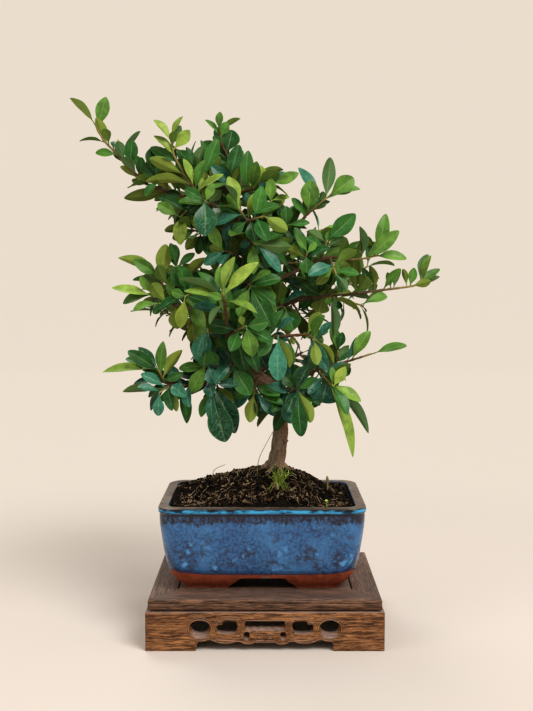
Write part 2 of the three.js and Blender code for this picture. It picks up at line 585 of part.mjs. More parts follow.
function slotHole(half) {
  return mirrored([[half * 0.32, 19.6], [half * 0.6, 20.8], [half * 0.88, 19.8], [half, 21.2], [half, 24.8]]);
}

function addAprons() {
  const [ox, oy] = [STAND.length / 2 + STAND.apronProud, STAND.width / 2 + STAND.apronProud];
  const t = STAND.apronThickness;
  const frontHoles = [slotHole(16.4), ...[-1, 1].flatMap((s) => [
    cloudHole(s * 32.4, 1), ovalHole(s * 55.8, 20.4, 7.9, 5.2, 10), ovalHole(s * 15.5, 14, 2.3, 2.3, 6),
  ])];
  const sideHoles = [slotHole(13), ...[-1, 1].flatMap((s) => [
    cloudHole(s * 27, 0.85), ovalHole(s * 12.5, 14, 2.2, 2.2, 6),
  ])];
  const long = plate(apronOutline(ox, STAND.frontFoot), frontHoles, -oy, -oy + t);
  const short = plate(apronOutline(oy, STAND.sideFoot), sideHoles, -ox, -ox + t).rotate([0, 0, -90]);
  const ring = union([long, long.rotate([0, 0, 180]), short, short.rotate([0, 0, 180])]);
  addFourSides('stand_apron', ring, mitreCuts([ox, oy], [ox - t, oy - t]));
}

// Pot

// A rounded rectangle of half sizes hx and hy about the pot's centre, with points along its sides.
function roundedRing(hx, hy, radius, z, perSide = 0) {
  const points = [];
  for (let corner = 0; corner < 4; corner += 1) {
    const [sx, sy] = [[1, 1], [-1, 1], [-1, -1], [1, -1]][corner];
    for (let i = 0; i < POT.perCorner; i += 1) {
      const angle = (corner + i / (POT.perCorner - 1)) * (Math.PI / 2);
      points.push(new THREE.Vector3(
        POT.centre[0] + sx * (hx - radius) + radius * Math.cos(angle),
        POT.centre[1] + sy * (hy - radius) + radius * Math.sin(angle),
        z,
      ));
    }
  }
  return points.flatMap((point, i) => {
    const next = points[(i + 1) % points.length];
    const onSide = (i + 1) % POT.perCorner === 0;
    const extra = Array.from({ length: onSide ? perSide : 0 }, (_, k) => (k + 1) / (perSide + 1));
    return [point, ...extra.map((share) => point.clone().lerp(next, share))];
  });
}

function potRing(inset, z, radius) {
  return roundedRing(POT.length / 2 - inset, POT.width / 2 - inset, radius, z);
}

// How far the outside stands in from the rim at each height, from the feet to the rim.
const POT_PROFILE = [
  [21.4, POT.foot], [20.2, 46], [14.5, 51.5], [9.6, 59.5], [6.6, 69], [4.4, 80], [1.1, 106],
  [1.1, 113], [0, 114], [0, POT.top],
];

function addPot() {
  const outside = POT_PROFILE.map(([inset, z]) => potRing(inset, z, POT.corner - inset * 0.25));
  const bottomInset = POT_PROFILE[0][0];
  const underside = POT.foot + POT.footHeight;
  const inside = [
    potRing(POT.wallFloor, POT.floor, 8),
    potRing(POT.wallTop + 1, 100, 9),
    potRing(POT.wallTop, POT.top + 1, 9),
  ];
  let pot = solidOf(skin(outside)).subtract(solidOf(skin(inside)));
  const recess = [POT.foot - 1, underside].map((z) => potRing(bottomInset + POT.footWall, z, 6));
  pot = pot.subtract(solidOf(skin(recess)));
  const [cx, cy] = POT.centre;
  const gap = ([low, high]) => [[-low / 2, POT.foot - 1], [low / 2, POT.foot - 1], [low / 2, POT.foot],
    [high / 2, underside], [-high / 2, underside], [-low / 2, POT.foot]];
  const across = plate(gap(POT.frontGap), [], -POT.width, POT.width).translate([cx, cy, 0]);
  const along = plate(gap(POT.sideGap), [], -POT.length, POT.length)
    .rotate([0, 0, 90]).translate([cx, cy, 0]);
  pot = pot.subtract(across).subtract(along);
  for (const side of [-1, 1]) {
    const drain = new THREE.CylinderGeometry(POT.drainRadius, POT.drainRadius, 20, 12);
    drain.rotateX(Math.PI / 2);
    drain.translate(cx + (side * POT.drainSpacing) / 2, cy, POT.floor);
    pot = pot.subtract(solidOf(drain));
  }
  addPart('pot', pot, 'glaze');
}

function addScreens() {
  for (const [side, name] of [[-1, 'left'], [1, 'right']]) {
    const x = POT.centre[0] + (side * POT.drainSpacing) / 2;
    const y = POT.centre[1];
    const half = SCREEN.size / 2;
    const top = POT.floor + SCREEN.thickness;
    let screen = box([x - half, y - half, POT.floor], [x + half, y + half, top]);
    const span = (SCREEN.perSide - 1) / 2;
    for (let i = -span; i <= span; i += 1) {
      for (let j = -span; j <= span; j += 1) {
        const [hx, hy, r] = [x + i * SCREEN.pitch, y + j * SCREEN.pitch, SCREEN.hole / 2];
        screen = screen.subtract(box([hx - r, hy - r, POT.floor - 1], [hx + r, hy + r, top + 1]));
      }
    }
    addPart(`drain_screen_${name}`, screen, 'screen');
  }
}

// Wood and leaves

function seen([x, z, y]) {
  const share = (y - EYE.y) / (0 - EYE.y);
  return new THREE.Vector3(x, 0, z).sub(EYE).multiplyScalar(share).add(EYE);
}

// A station at each point, with its direction and its radius, which runs from the first to the last.
function stationsOf(points, radii) {
  const last = points.length - 1;
  return points.map((point, i) => {
    const tangent = points[Math.min(i + 1, last)].clone().sub(points[Math.max(i - 1, 0)]).normalize();
    const at = (i / last) * (radii.length - 1);
    const low = Math.min(Math.floor(at), radii.length - 2);
    return { point, tangent, radius: radii[low] + (radii[low + 1] - radii[low]) * (at - low) };
  });
}

function taperedTube(stations, sides, grow = 0) {
  let across = new THREE.Vector3(0, -1, 0).cross(stations[0].tangent).normalize();
  const rings = stations.map(({ point, tangent, radius }) => {
    across = across.clone().addScaledVector(tangent, -across.dot(tangent)).normalize();
    const other = tangent.clone().cross(across);
    return Array.from({ length: sides }, (_, i) => {
      const angle = ((i + 0.5) / sides) * Math.PI * 2;
      return point.clone()
        .addScaledVector(across, Math.cos(angle) * (radius + grow))
        .addScaledVector(other, Math.sin(angle) * (radius + grow));
    });
  });
  return solidOf(skin(rings));
}

// Height of the soil at a place.
function soilHeight(x, y) {
  const reach = x < SOIL.centre[0] ? SOIL.reachLeft : SOIL.reachRight;
  const across = ((x - SOIL.centre[0]) / reach) ** 2 + ((y - SOIL.centre[1]) / SOIL.reachDeep) ** 2;
  return SOIL.edge + (SOIL.peak - SOIL.edge) * Math.max(0, 1 - across) ** 0.8;
}

function rootStations([degrees, reach, radius]) {
  const angle = THREE.MathUtils.degToRad(degrees);
  const points = [0, 0.5, 1].map((share) => {
    const x = 9 + Math.cos(angle) * (3 + reach * share);
    const y = Math.sin(angle) * (3 + reach * share);
    const lift = [9, 1, -5][Math.round(share * 2)];
    return new THREE.Vector3(x, y, soilHeight(x, y) + lift);
  });
  return stationsOf(points, [radius, radius * 0.6, radius * 0.35]);
}

function trunkSolid(grow) {
  const points = TRUNK.map(([x, z, y]) => seen([x, z, y]));
  const stem = taperedTube(stationsOf(points, TRUNK.map((p) => p[3])), 7, grow);
  const roots = ROOTS.map((root) => taperedTube(rootStations(root), 4, grow));
  const knob = [seen([14, 165, -2]), seen([20.5, 168, -4])];
  return union([stem, ...roots, taperedTube(stationsOf(knob, [4.2, 3.1]), 5, grow)]);
}

// The rings of a leaf between its pointed root and its tip, as shares of its length, of its width
// and of its thickness. Each ring is two raised edges over a keel.
const SECTIONS = {
  broad: [[0.14, 0.3, 1.1], [0.5, 1, 1], [0.83, 0.72, 0.8]],
  middle: [[0.28, 0.66, 1.1], [0.7, 0.94, 0.8]],
  narrow: [[0.5, 1, 1.1]],
};

function sectionsFor(width) {
  if (width > LEAF.broadFrom) return SECTIONS.broad;
  return width > LEAF.middleFrom ? SECTIONS.middle : SECTIONS.narrow;
}

function leafGeometry({ root, tip, normal, width }, grow = 0) {
  const along = tip.clone().sub(root);
  const length = along.length();
  along.normalize();
  const up = normal.clone().addScaledVector(along, -normal.dot(along)).normalize();
  const side = along.clone().cross(up);
  const rings = sectionsFor(width).map(([share, wide, deep]) => {
    const half = (wide * width) / 2 + grow;
    const middle = root.clone().lerp(tip, share)
      .addScaledVector(up, LEAF.arch * length * 4 * share * (1 - share));
    return [
      middle.clone().addScaledVector(side, half).addScaledVector(up, half * LEAF.cup),
      middle.clone().addScaledVector(up, -LEAF.thickness * deep - grow),
      middle.clone().addScaledVector(side, -half).addScaledVector(up, half * LEAF.cup),
    ];
  });
  return skin([[root], ...rings, [tip.clone().addScaledVector(along, grow)]]);
}

// The places along a branch's wood where leaves may stand, evenly apart and clear of the trunk.
function leafStations(tubes) {
  return tubes.flatMap((tube, t) => {
    const lengths = tube.slice(1).map((station, i) => station.point.distanceTo(tube[i].point));
    const total = lengths.reduce((sum, length) => sum + length, 0);
    const count = Math.round(total / LEAF.spacing);
    const places = [];
    for (let i = 0; i <= count; i += 1) {
      let rest = (i / count) * total;
      let span = 0;
      while (span < lengths.length - 1 && rest > lengths[span]) {
        rest -= lengths[span];
        span += 1;
      }
      const share = Math.min(1, rest / lengths[span]);
      const [a, b] = [tube[span], tube[span + 1]];
      const along = b.point.clone().sub(a.point).normalize();
      const station = { point: a.point.clone().lerp(b.point, share), tangent: along, radius: b.radius };
      if (t > 0 || (i / count) * total > LEAF.bareWood) places.push(station);
    }
    return places;
  });
}

// Each leaf takes the free station with the lowest cost, so that no two leaves share one.
function takeStation(stations, cost) {
  let best = null;
  stations.forEach((station, i) => {
    const value = cost(station, i);
    if (!station.taken && (!best || value < best.value)) best = { value, station };
  });
  best.station.taken = true;
  return best.station;
}

function nearRoot(x, z) {
  return ({ point }) => {
    const share = (point.y - EYE.y) / (0 - EYE.y);
    const flat = point.clone().sub(EYE).divideScalar(share).add(EYE);
    return Math.hypot(flat.x - x, flat.z - z);
  };
}

// A leaf of the outline. Each further try moves its tip towards or away from the front.
function outlineLeaf(station, [rx, rz, tx, tz, seenWidth, face], seed, attempt) {
  const root = station.point.clone();
  const flat = Math.hypot(tx - rx, tz - rz);
  const lean = (draw(seed, 1) - 0.65) * 0.3 * flat;
  const step = [0, -4, 4, -8, 8, -12, 12, -17, 17, -22][attempt];
  const tip = seen([tx, tz, root.y + lean + step]);
  const along = tip.clone().sub(root).normalize();
  const width = Math.max(seenWidth, Math.min(flat * LEAF.slimness, 12));
  const turn = Math.acos(Math.min(1, seenWidth / width)) * 0.92;
  const sight = EYE.clone().sub(root).normalize();
  const facing = sight.addScaledVector(along, -sight.dot(along)).normalize();
  const beside = along.clone().cross(facing);
  if (beside.z < 0) beside.negate();
  const normal = facing.multiplyScalar(face === 'u' ? Math.cos(turn) : -Math.cos(turn))
    .addScaledVector(beside, Math.sin(turn));
  root.addScaledVector(along, -station.radius * LEAF.rootSink);
  return { root, tip, normal, width };
}

// A leaf set by the rule round the wood: a turn of 137.5 degrees from each leaf to the next.
function fillLeaf(station, number, seed, attempt) {
  const { tangent } = station;
  const turn = THREE.MathUtils.degToRad(137.5 * (number + attempt * 3) + 360 * draw(seed, 2));
  const radial = new THREE.Vector3(0, 0, 1).cross(tangent).normalize().applyAxisAngle(tangent, turn);
  const splay = THREE.MathUtils.degToRad(38 + 34 * draw(seed, 3, attempt));
  const along = tangent.clone().multiplyScalar(Math.cos(splay)).addScaledVector(radial, Math.sin(splay));
  along.z += 0.12;
  along.normalize();
  const [low, high] = LEAF.fillLengths;
  const length = (low + (high - low) * draw(seed, 4)) * (1 - 0.03 * attempt);
  const root = station.point.clone().addScaledVector(along, -station.radius * LEAF.rootSink);
  const normal = tangent.clone().multiplyScalar(0.7).add(new THREE.Vector3(0, 0, 0.8));
  return { root, tip: root.clone().addScaledVector(along, length), normal, width: length * LEAF.fillWidth };
}

function boundsMeet(a, b) {
  return [0, 1, 2].every((i) => a.min[i] < b.max[i] && b.min[i] < a.max[i]);
}

function meets(solid, bounds, others) {
  return others.some((other) => boundsMeet(bounds, other.bounds)
    && solid.intersect(other.solid).volume() > 1e-3);
}

// Every branch's wood is placed before any leaf, so that each leaf can be bent clear of it.
function buildBranches() {
  const trunkRoom = trunkSolid(GAP);
  const trunkPart = [{ solid: trunkRoom, bounds: trunkRoom.boundingBox() }];
  const branches = Object.entries(BRANCHES).map(([name, { wood, leaves, fill }]) => {
    const tubes = wood.map(([r0, r1, ...points]) => stationsOf(points.map(seen), [r0, r1]));
    const solid = union(tubes.map((stations) => taperedTube(stations, 3)));
    const stations = leafStations(tubes);
    return { name, leaves, fill, stations, own: [], wood: { solid, bounds: solid.boundingBox() } };
  });
  const place = (branch, make, seed) => {
    const foreign = branches.filter((other) => other !== branch)
      .flatMap((other) => [other.wood, ...other.own]);
    for (const tidy of [true, false]) {
      for (let attempt = 0; attempt < LEAF.tries; attempt += 1) {
        const leaf = make(seed, attempt);
        const grown = solidOf(leafGeometry(leaf, LEAF.clearance));
        const bounds = grown.boundingBox();
        const beyond = { ...leaf, root: leaf.root.clone().lerp(leaf.tip, 0.15) };
        const outer = solidOf(leafGeometry(beyond));
        const clear = !meets(grown, bounds, foreign) && !meets(outer, bounds, trunkPart)
          && !(tidy && meets(outer, bounds, branch.own));
        if (clear) {
          const solid = solidOf(leafGeometry(leaf));
          branch.own.push({ solid, bounds: solid.boundingBox() });
          return true;
        }
      }
    }
    return false;
  };
  branches.forEach((branch, b) => {
    branch.leaves.forEach((row, i) => {
      const station = takeStation(branch.stations, nearRoot(row[0], row[1]));
      place(branch, (seed, attempt) => outlineLeaf(station, row, seed, attempt), b * 100 + i);
    });
  });
  branches.forEach((branch, b) => {
    for (let i = 0; i < branch.fill; i += 1) {
      const wanted = ((i + 0.5) / branch.fill) * branch.stations.length;
      const station = takeStation(branch.stations, (_, index) => Math.abs(index - wanted));
      place(branch, (seed, attempt) => fillLeaf(station, i, seed, attempt), b * 100 + 50 + i);
    }
  });
  for (const branch of branches) {
    const whole = union([branch.wood.solid, ...branch.own.map((leaf) => leaf.solid)]);
    const seated = whole.subtract(trunkRoom).decompose();
    seated.sort((p, q) => q.volume() - p.volume());
    addPart(branch.name, seated[0], 'leaf');
  }
}

// Soil and grass

function grassPeg(grow) {
  const [x, y] = GRASS.centre;
  const top = soilHeight(x, y) + GRASS.rise;
  const peg = new THREE.CylinderGeometry(GRASS.peg + grow, GRASS.peg * 0.8 + grow, GRASS.depth + grow * 2, 6);
  peg.rotateX(Math.PI / 2);
  peg.translate(x, y, top - GRASS.depth / 2);
  return solidOf(peg);
}

function grassSolid() {
  const [x, y] = GRASS.centre;
  const top = soilHeight(x, y) + GRASS.rise;
  const [low, high] = GRASS.heights;
  const [near, far] = GRASS.reach;
  const blades = [];
  for (let i = 0; i < GRASS.blades; i += 1) {
    const angle = i * 2.4;
    const height = low + (high - low) * draw(i, 5);
    const reach = near + (far - near) * draw(i, 8);
    const points = [[0, -1.5], [0.45, height * 0.75], [1, height]].map(([share, rise]) => new THREE.Vector3(
      x + Math.cos(angle) * (1 + reach * share),
      y + Math.sin(angle) * (1 + reach * share),
      top + rise,
    ));
    blades.push(taperedTube(stationsOf(points, [1, 0.9, 0.4]), 3));
  }
  return union([grassPeg(0), ...blades]);
}

function addSoilAndGrass(trunkRoom) {
  const rings = [];
  const inset = (z) => (z > 100 ? POT.wallTop + 1 - (z - 100) / (POT.top + 1 - 100)
    : POT.wallFloor - ((POT.wallFloor - POT.wallTop - 1) * (z - POT.floor)) / (100 - POT.floor));
  for (const z of [POT.floor + GAP, 100]) {
    rings.push(roundedRing(POT.length / 2 - inset(z) - GAP, POT.width / 2 - inset(z) - GAP, 8.5, z,
      SOIL.perSide));
  }
  const shares = [1, 0.82, 0.56, 0.3];
  shares.forEach((share, r) => {
    const edge = [POT.length / 2 - POT.wallTop - GAP - 0.7, POT.width / 2 - POT.wallTop - GAP - 0.7];
    const ring = roundedRing(edge[0] * share, edge[1] * share, 8.5 * share, 0, SOIL.perSide);
    rings.push(ring.map((p, i) => {
      const grain = r ? (draw(r, i, 6) * 2 - 1) * SOIL.grain : 0;
      return new THREE.Vector3(p.x, p.y, soilHeight(p.x, p.y) + grain);
    }));
  });
  rings.push([new THREE.Vector3(POT.centre[0], POT.centre[1], soilHeight(...POT.centre))]);
  let soil = solidOf(skin(rings)).subtract(trunkRoom).subtract(grassPeg(GAP));
  for (const side of [-1, 1]) {
    const x = POT.centre[0] + (side * POT.drainSpacing) / 2;
    const half = SCREEN.size / 2 + GAP;
    soil = soil.subtract(box([x - half, POT.centre[1] - half, POT.floor - 1],
      [x + half, POT.centre[1] + half, POT.floor + SCREEN.thickness + GAP]));
  }
  const pieces = soil.decompose().sort((p, q) => q.volume() - p.volume());
  addPart('soil', pieces[0], 'soil');
  addPart('grass_tuft', grassSolid(), 'grass');
}

addFrame();
addAprons();
addPot();
addScreens();
addSoilAndGrass(trunkSolid(GAP));
addPart('trunk', trunkSolid(0), 'bark');
buildBranches();

// The origin is the bottom centre of the bounding box.
const bounds = new THREE.Box3().setFromObject(group);
const centre = bounds.getCenter(new THREE.Vector3());
group.position.set(-centre.x, -centre.y, -bounds.min.z);
group.updateMatrixWorld(true);

export default group;
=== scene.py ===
# %% [markdown]
# # A scarlet firethorn bonsai
# A firethorn grown small: a crooked trunk, leafy limbs, a blue glazed pot and a pierced wooden
# stand. The CAD model gives every piece its place. Here each one gets its fine surface and its
# finish. Lengths are in millimetres until a mesh is made, and x, y and z are counted from the
# middle of the stand's footprint, with the front towards -y.

import math

import bmesh
import bpy
import numpy as np
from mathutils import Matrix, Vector, kdtree, noise


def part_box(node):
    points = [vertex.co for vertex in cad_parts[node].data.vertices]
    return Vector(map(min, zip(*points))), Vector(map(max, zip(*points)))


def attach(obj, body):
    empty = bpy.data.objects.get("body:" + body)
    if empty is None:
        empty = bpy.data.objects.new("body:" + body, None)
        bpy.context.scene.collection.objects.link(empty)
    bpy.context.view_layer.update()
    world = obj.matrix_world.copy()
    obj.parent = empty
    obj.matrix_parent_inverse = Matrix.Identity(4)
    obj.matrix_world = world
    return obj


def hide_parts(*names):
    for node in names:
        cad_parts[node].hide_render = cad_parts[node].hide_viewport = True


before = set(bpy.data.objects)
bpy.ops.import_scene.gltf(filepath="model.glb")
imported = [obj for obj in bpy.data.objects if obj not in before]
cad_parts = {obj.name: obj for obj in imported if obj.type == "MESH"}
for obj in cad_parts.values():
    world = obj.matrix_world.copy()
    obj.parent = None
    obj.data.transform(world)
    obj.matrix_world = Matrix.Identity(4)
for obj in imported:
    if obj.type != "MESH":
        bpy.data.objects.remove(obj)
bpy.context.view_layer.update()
MM = 0.001
low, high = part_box("stand_apron_left")[0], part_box("stand_apron_right")[1]
front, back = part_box("stand_apron_front")[0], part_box("stand_apron_back")[1]
HOME = np.array([(low.x + high.x) / 2, (front.y + back.y) / 2, 0.0])

# %% [markdown]
# ## Camera
# A camera in Blender is a lens length and a sensor width. The view is a plain portrait from a
# little above the middle of the tree, pitched down a few degrees, so the rim of the pot and the
# top of the stand show as thin bands.

# %% Camera
EYE = np.array([1.3, -890.4, 310.8])
PITCH_DOWN = 4.23


def link(thing):
    """Put a new object into the scene."""
    bpy.context.scene.collection.objects.link(thing)
    return thing


camera_data = bpy.data.cameras.new("view")
camera_data.lens = 50
camera_data.sensor_width = 36
camera_data.clip_start = 0.01
camera = link(bpy.data.objects.new("view", camera_data))
camera.location = Vector(EYE * MM + HOME)
camera.rotation_euler = (math.radians(90 - PITCH_DOWN), 0, 0)
bpy.context.scene.camera = camera
print("camera at", camera.location)

# %% [markdown]
# ## A draw that repeats
# Leaves and crumbs need chance, but the same chance on every run. This draw mixes up to three
# whole numbers into one number between 0 and 1. It works on 32 bits, as the CAD model's does, so
# both place the same leaves.

# %% Repeatable draw
WORD = 0xFFFFFFFF


def signed(value):
    """A whole number as 32 bits hold it, from -2^31 up to 2^31 - 1."""
    value &= WORD
    return value - (1 << 32) if value & (1 << 31) else value


def draw(a, b=0, c=0):
    """A number from 0 up to 1 for three whole numbers, the same on every run."""
    mixed = signed((a + 1) * 73856093) ^ signed((b + 7) * 19349663) ^ signed((c + 13) * 83492791)
    mixed = signed((mixed ^ ((mixed & WORD) >> 13)) * 1274126177)
    mixed ^= (mixed & WORD) >> 16
    return (mixed & WORD) / (WORD + 1)


print("first draws", [round(draw(i), 3) for i in range(4)])

# %% [markdown]
# ## Gathering a mesh
# Hundreds of leaves as hundreds of objects would be slow. A form gathers points and faces from
# many small shapes and makes one mesh at the end. Marks are numbers kept at each point, such as
# how far along its leaf a point lies, which the finishes read later.

# %% Forms
class Form:
    """Points and faces gathered for one mesh, with the marks kept at each point."""

    def __init__(self):
        self.points, self.faces, self.marks, self.count = [], [], {}, 0

    def add(self, points, faces, **marks):
        self.points.append(np.asarray(points, float))
        self.faces += [[self.count + i for i in face] for face in faces]
        for name, values in marks.items():
            values = np.asarray(values, float)
            if values.ndim == 1:
                values = np.tile(values, (len(points), 1))
            self.marks.setdefault(name, []).append(values)
        self.count += len(points)

    def piece(self, name, finish, slot, nodes=(), sharp=45):
        """Make the mesh of all that was gathered and place it as a piece."""
        mesh = bpy.data.meshes.new(name)
        mesh.from_pydata((np.concatenate(self.points) * MM + HOME).tolist(), [], self.faces)
        for mark, values in self.marks.items():
            values = np.concatenate(values)
            kind, field = (("FLOAT_COLOR", "color") if values.shape[1] == 4
                           else ("FLOAT_VECTOR", "vector"))
            layer = mesh.attributes.new(mark, kind, "POINT")
            layer.data.foreach_set(field, values.ravel())
        mesh.update()
        return place(link(bpy.data.objects.new(name, mesh)), finish, slot, nodes, sharp)


def place(piece, finish, slot, nodes, sharp):
    """Give a piece its smooth shading, its finish and the nodes it stands for. The slot is not
    used.
    """
    piece.data.materials.clear()
    piece.data.materials.append(finish)
    piece.data.shade_smooth()
    if sharp:
        piece.data.set_sharp_from_angle(angle=math.radians(sharp))
    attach(piece, "root")
    if nodes:
        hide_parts(*nodes)
    return piece


def grid_faces(rows, columns, wrap=True, start=0):
    """Quads between rings of points. With wrap the last column joins the first."""
    faces = []
    for r in range(rows - 1):
        for c in range(columns if wrap else columns - 1):
            a, b = start + r * columns + c, start + r * columns + (c + 1) % columns
            faces.append([a, b, b + columns, a + columns])
    return faces


def loft(form, rings, **marks):
    """A skin over rings of the same number of points, closed at both ends."""
    rings = np.asarray(rings, float)
    rows, columns = rings.shape[:2]
    faces = grid_faces(rows, columns)
    faces.append(list(range(columns))[::-1])
    faces.append([(rows - 1) * columns + c for c in range(columns)])
    form.add(rings.reshape(-1, 3), faces, **marks)


# %% [markdown]
# ## Curves and tubes
# Twigs, roots and grass are tubes: rings set along a path, each turned to face the way the path
# runs. The rings are carried from one to the next without twist. A path is first cut into short
# equal steps and its corners are softened, because a real twig has no sharp bends.

# %% Paths and tubes
def unit(vector):
    """The same direction with a length of one."""
    return vector / max(np.linalg.norm(vector), 1e-12)


def reaches(path):
    """How far along a path each of its points lies."""
    return np.concatenate([[0], np.cumsum(np.linalg.norm(np.diff(path, axis=0), axis=1))])


def resample(points, step, soften=0):
    """A path cut into equal steps, its corners softened so many times."""
    points = np.asarray(points, float)
    reach = reaches(points)
    count = max(2, int(round(reach[-1] / step)) + 1)
    places = np.linspace(0, reach[-1], count)
    path = np.stack([np.interp(places, reach, points[:, k]) for k in range(3)], axis=1)
    for _ in range(soften):
        path[1:-1] = (path[:-2] + 2 * path[1:-1] + path[2:]) / 4
    return path


def curve_through(points, steps=8):
    """Catmull-Rom curve: smooth, and it meets every point given."""
    points = np.asarray(points, float)
    padded = np.vstack([2 * points[0] - points[1], points, 2 * points[-1] - points[-2]])
    path = []
    for i in range(len(points) - 1):
        p0, p1, p2, p3 = padded[i:i + 4]
        for k in range(steps):
            t = k / steps
            path.append(0.5 * (2 * p1 + (p2 - p0) * t + (2 * p0 - 5 * p1 + 4 * p2 - p3) * t * t
                               + (3 * p1 - p0 - 3 * p2 + p3) * t ** 3))
    path.append(points[-1])
    return np.array(path)


def full_turn(count):
    """Evenly spaced angles round a circle."""
    return np.arange(count) * 2 * math.pi / count


def tube_rings(path, radii, sides, rough=0.0, seed=0):
    """Rings along a path. `rough` is the share of its radius by which a ring bulges."""
    path = np.asarray(path, float)
    radii = np.broadcast_to(radii, len(path))
    tangents = np.gradient(path, axis=0)
    across = unit(np.cross([0.31, -0.9, 0.2], tangents[0]))
    angles = full_turn(sides)
    rings = []
    for i, (point, tangent) in enumerate(zip(path, tangents)):
        tangent = unit(tangent)
        across = unit(across - tangent * across.dot(tangent))
        other = np.cross(tangent, across)
        for a in angles:
            bulge = noise.noise(Vector((math.cos(a) * 1.3, math.sin(a) * 1.3 + seed, i * 0.45)))
            rings.append(point + (across * math.cos(a) + other * math.sin(a)) * radii[i]
                         * (1 + rough * bulge))
    return np.array(rings).reshape(len(path), sides, 3)


def grain_marks(path, radii, sides):
    """Where a point lies round and along its limb, for bark that runs with the wood."""
    return np.array([[math.cos(a) * r, math.sin(a) * r, s]
                     for s, r in zip(reaches(path), radii) for a in full_turn(sides)])


def tree_of(points):
    """A search tree over points, which finds the nearest ones fast."""
    points = list(points)
    tree = kdtree.KDTree(len(points))
    for i, point in enumerate(points):
        tree.insert(Vector(point), i)
    tree.balance()
    return tree


print("a path of", len(curve_through([[0, 0, 0], [1, 0, 0], [1, 1, 0]])), "points")

# %% [markdown]
# ## Finishes as sums
# A finish is a graph of nodes. Written node by node it is long and hard to read, so a wire
# wraps one socket, and sums on wires make the Math nodes. Everything else goes through one
# method, `node`, which takes the node's type, its settings and what its sockets get.

# %% Wires and finishes
class Wire:
    """One output socket of a finish. Sums on wires make Math nodes."""

    def __init__(self, finish, socket):
        self.finish, self.socket = finish, socket

    def math(self, operation, *others, swap=False):
        values = [self, *others]
        return self.finish.node("Math", {"operation": operation},
                                dict(enumerate(values[::-1] if swap else values)))

    def __add__(self, other):
        return self.math("ADD", other)

    def __sub__(self, other):
        return self.math("SUBTRACT", other)

    def __rsub__(self, other):
        return self.math("SUBTRACT", other, swap=True)

    def __mul__(self, other):
        return self.math("MULTIPLY", other)

    def __truediv__(self, other):
        return self.math("DIVIDE", other)

    def __pow__(self, other):
        return self.math("POWER", other)

    def __abs__(self):
        return self.math("ABSOLUTE")

    __radd__ = __add__
    __rmul__ = __mul__

    def step(self, start, end):
        """0 below start, 1 above end, and a smooth rise between."""
        return self.finish.node("MapRange", {"interpolation_type": "SMOOTHSTEP"},
                                {"Value": self, "From Min": start, "From Max": end})

    def part(self, index):
        return self.finish.node("SeparateXYZ", {}, {0: self}, index)

    def stretch(self, x, y, z):
        return self.finish.node("VectorMath", {"operation": "MULTIPLY"}, {0: self, 1: (x, y, z)})

    def length(self):
        return self.finish.node("VectorMath", {"operation": "LENGTH"}, {0: self})


def colour(red, green, blue):
    """A colour given as it looks on a screen, from 0 to 255, as the linear light Blender uses."""
    def linear(value):
        value /= 255
        return value / 12.92 if value <= 0.04045 else ((value + 0.055) / 1.055) ** 2.4
    return (linear(red), linear(green), linear(blue), 1.0)


def tint(red, green, blue):
    """The same colour as three numbers that Python can mix."""
    return np.array(colour(red, green, blue)[:3])


class Finish:
    """A material with one shader, whose sockets get plain values or wires."""

    def __init__(self, name, **constants):
        self.material = bpy.data.materials.new(name)
        self.material.use_nodes = True
        self.tree = self.material.node_tree
        self.tree.nodes.clear()
        self.shader = self.tree.nodes.new("ShaderNodeBsdfPrincipled")
        output = self.tree.nodes.new("ShaderNodeOutputMaterial")
        self.tree.links.new(self.shader.outputs[0], output.inputs[0])
        self.surface(**constants)

    def node(self, kind, settings, sockets, output=0):
        """A new node. A socket is named, or numbered where two share a name."""
        made = self.tree.nodes.new("ShaderNode" + kind)
        for name, value in settings.items():
            setattr(made, name, value)
        for name, value in sockets.items():
            self.feed(made.inputs[name] if isinstance(name, int) else next(
                s for s in made.inputs if s.name == name and s.enabled), value)
        live = [s for s in made.outputs if s.enabled]
        return Wire(self, live[output] if isinstance(output, int) else made.outputs[output])

    def feed(self, socket, value):
        if isinstance(value, Wire):
            self.tree.links.new(value.socket, socket)
        else:
            socket.default_value = value

    def surface(self, **values):
        """Feed the shader's own sockets, and give the material."""
        for name, value in values.items():
            self.feed(self.shader.inputs[name.replace("_", " ")], value)
        return self.material

    def mark(self, name, output=0):
        """A mark kept at the mesh's points."""
        return self.node("Attribute", {"attribute_name": name}, {}, output)

    def place(self):
        return self.node("TexCoord", {}, {}, "Object")

    def facing_up(self):
        """1 where the surface faces up, 0 where it stands upright."""
        return self.node("NewGeometry", {}, {}, "Normal").part(2)

    def noise(self, at, scale, detail=3, rough=0.5, twist=0.0, output=0):
        return self.node("TexNoise", {}, {"Vector": at, "Scale": scale, "Detail": detail,
                                          "Roughness": rough, "Distortion": twist}, output)

    def cells(self, at, scale):
        return self.node("TexVoronoi", {}, {"Vector": at, "Scale": scale})

    def mix(self, share, a, b):
        return self.node("Mix", {"data_type": "RGBA"}, {"Factor": share, "A": a, "B": b})

    def bump(self, height, distance, strength):
        return self.node("Bump", {}, {"Height": height, "Distance": distance, "Strength": strength})


print("finishes are ready")
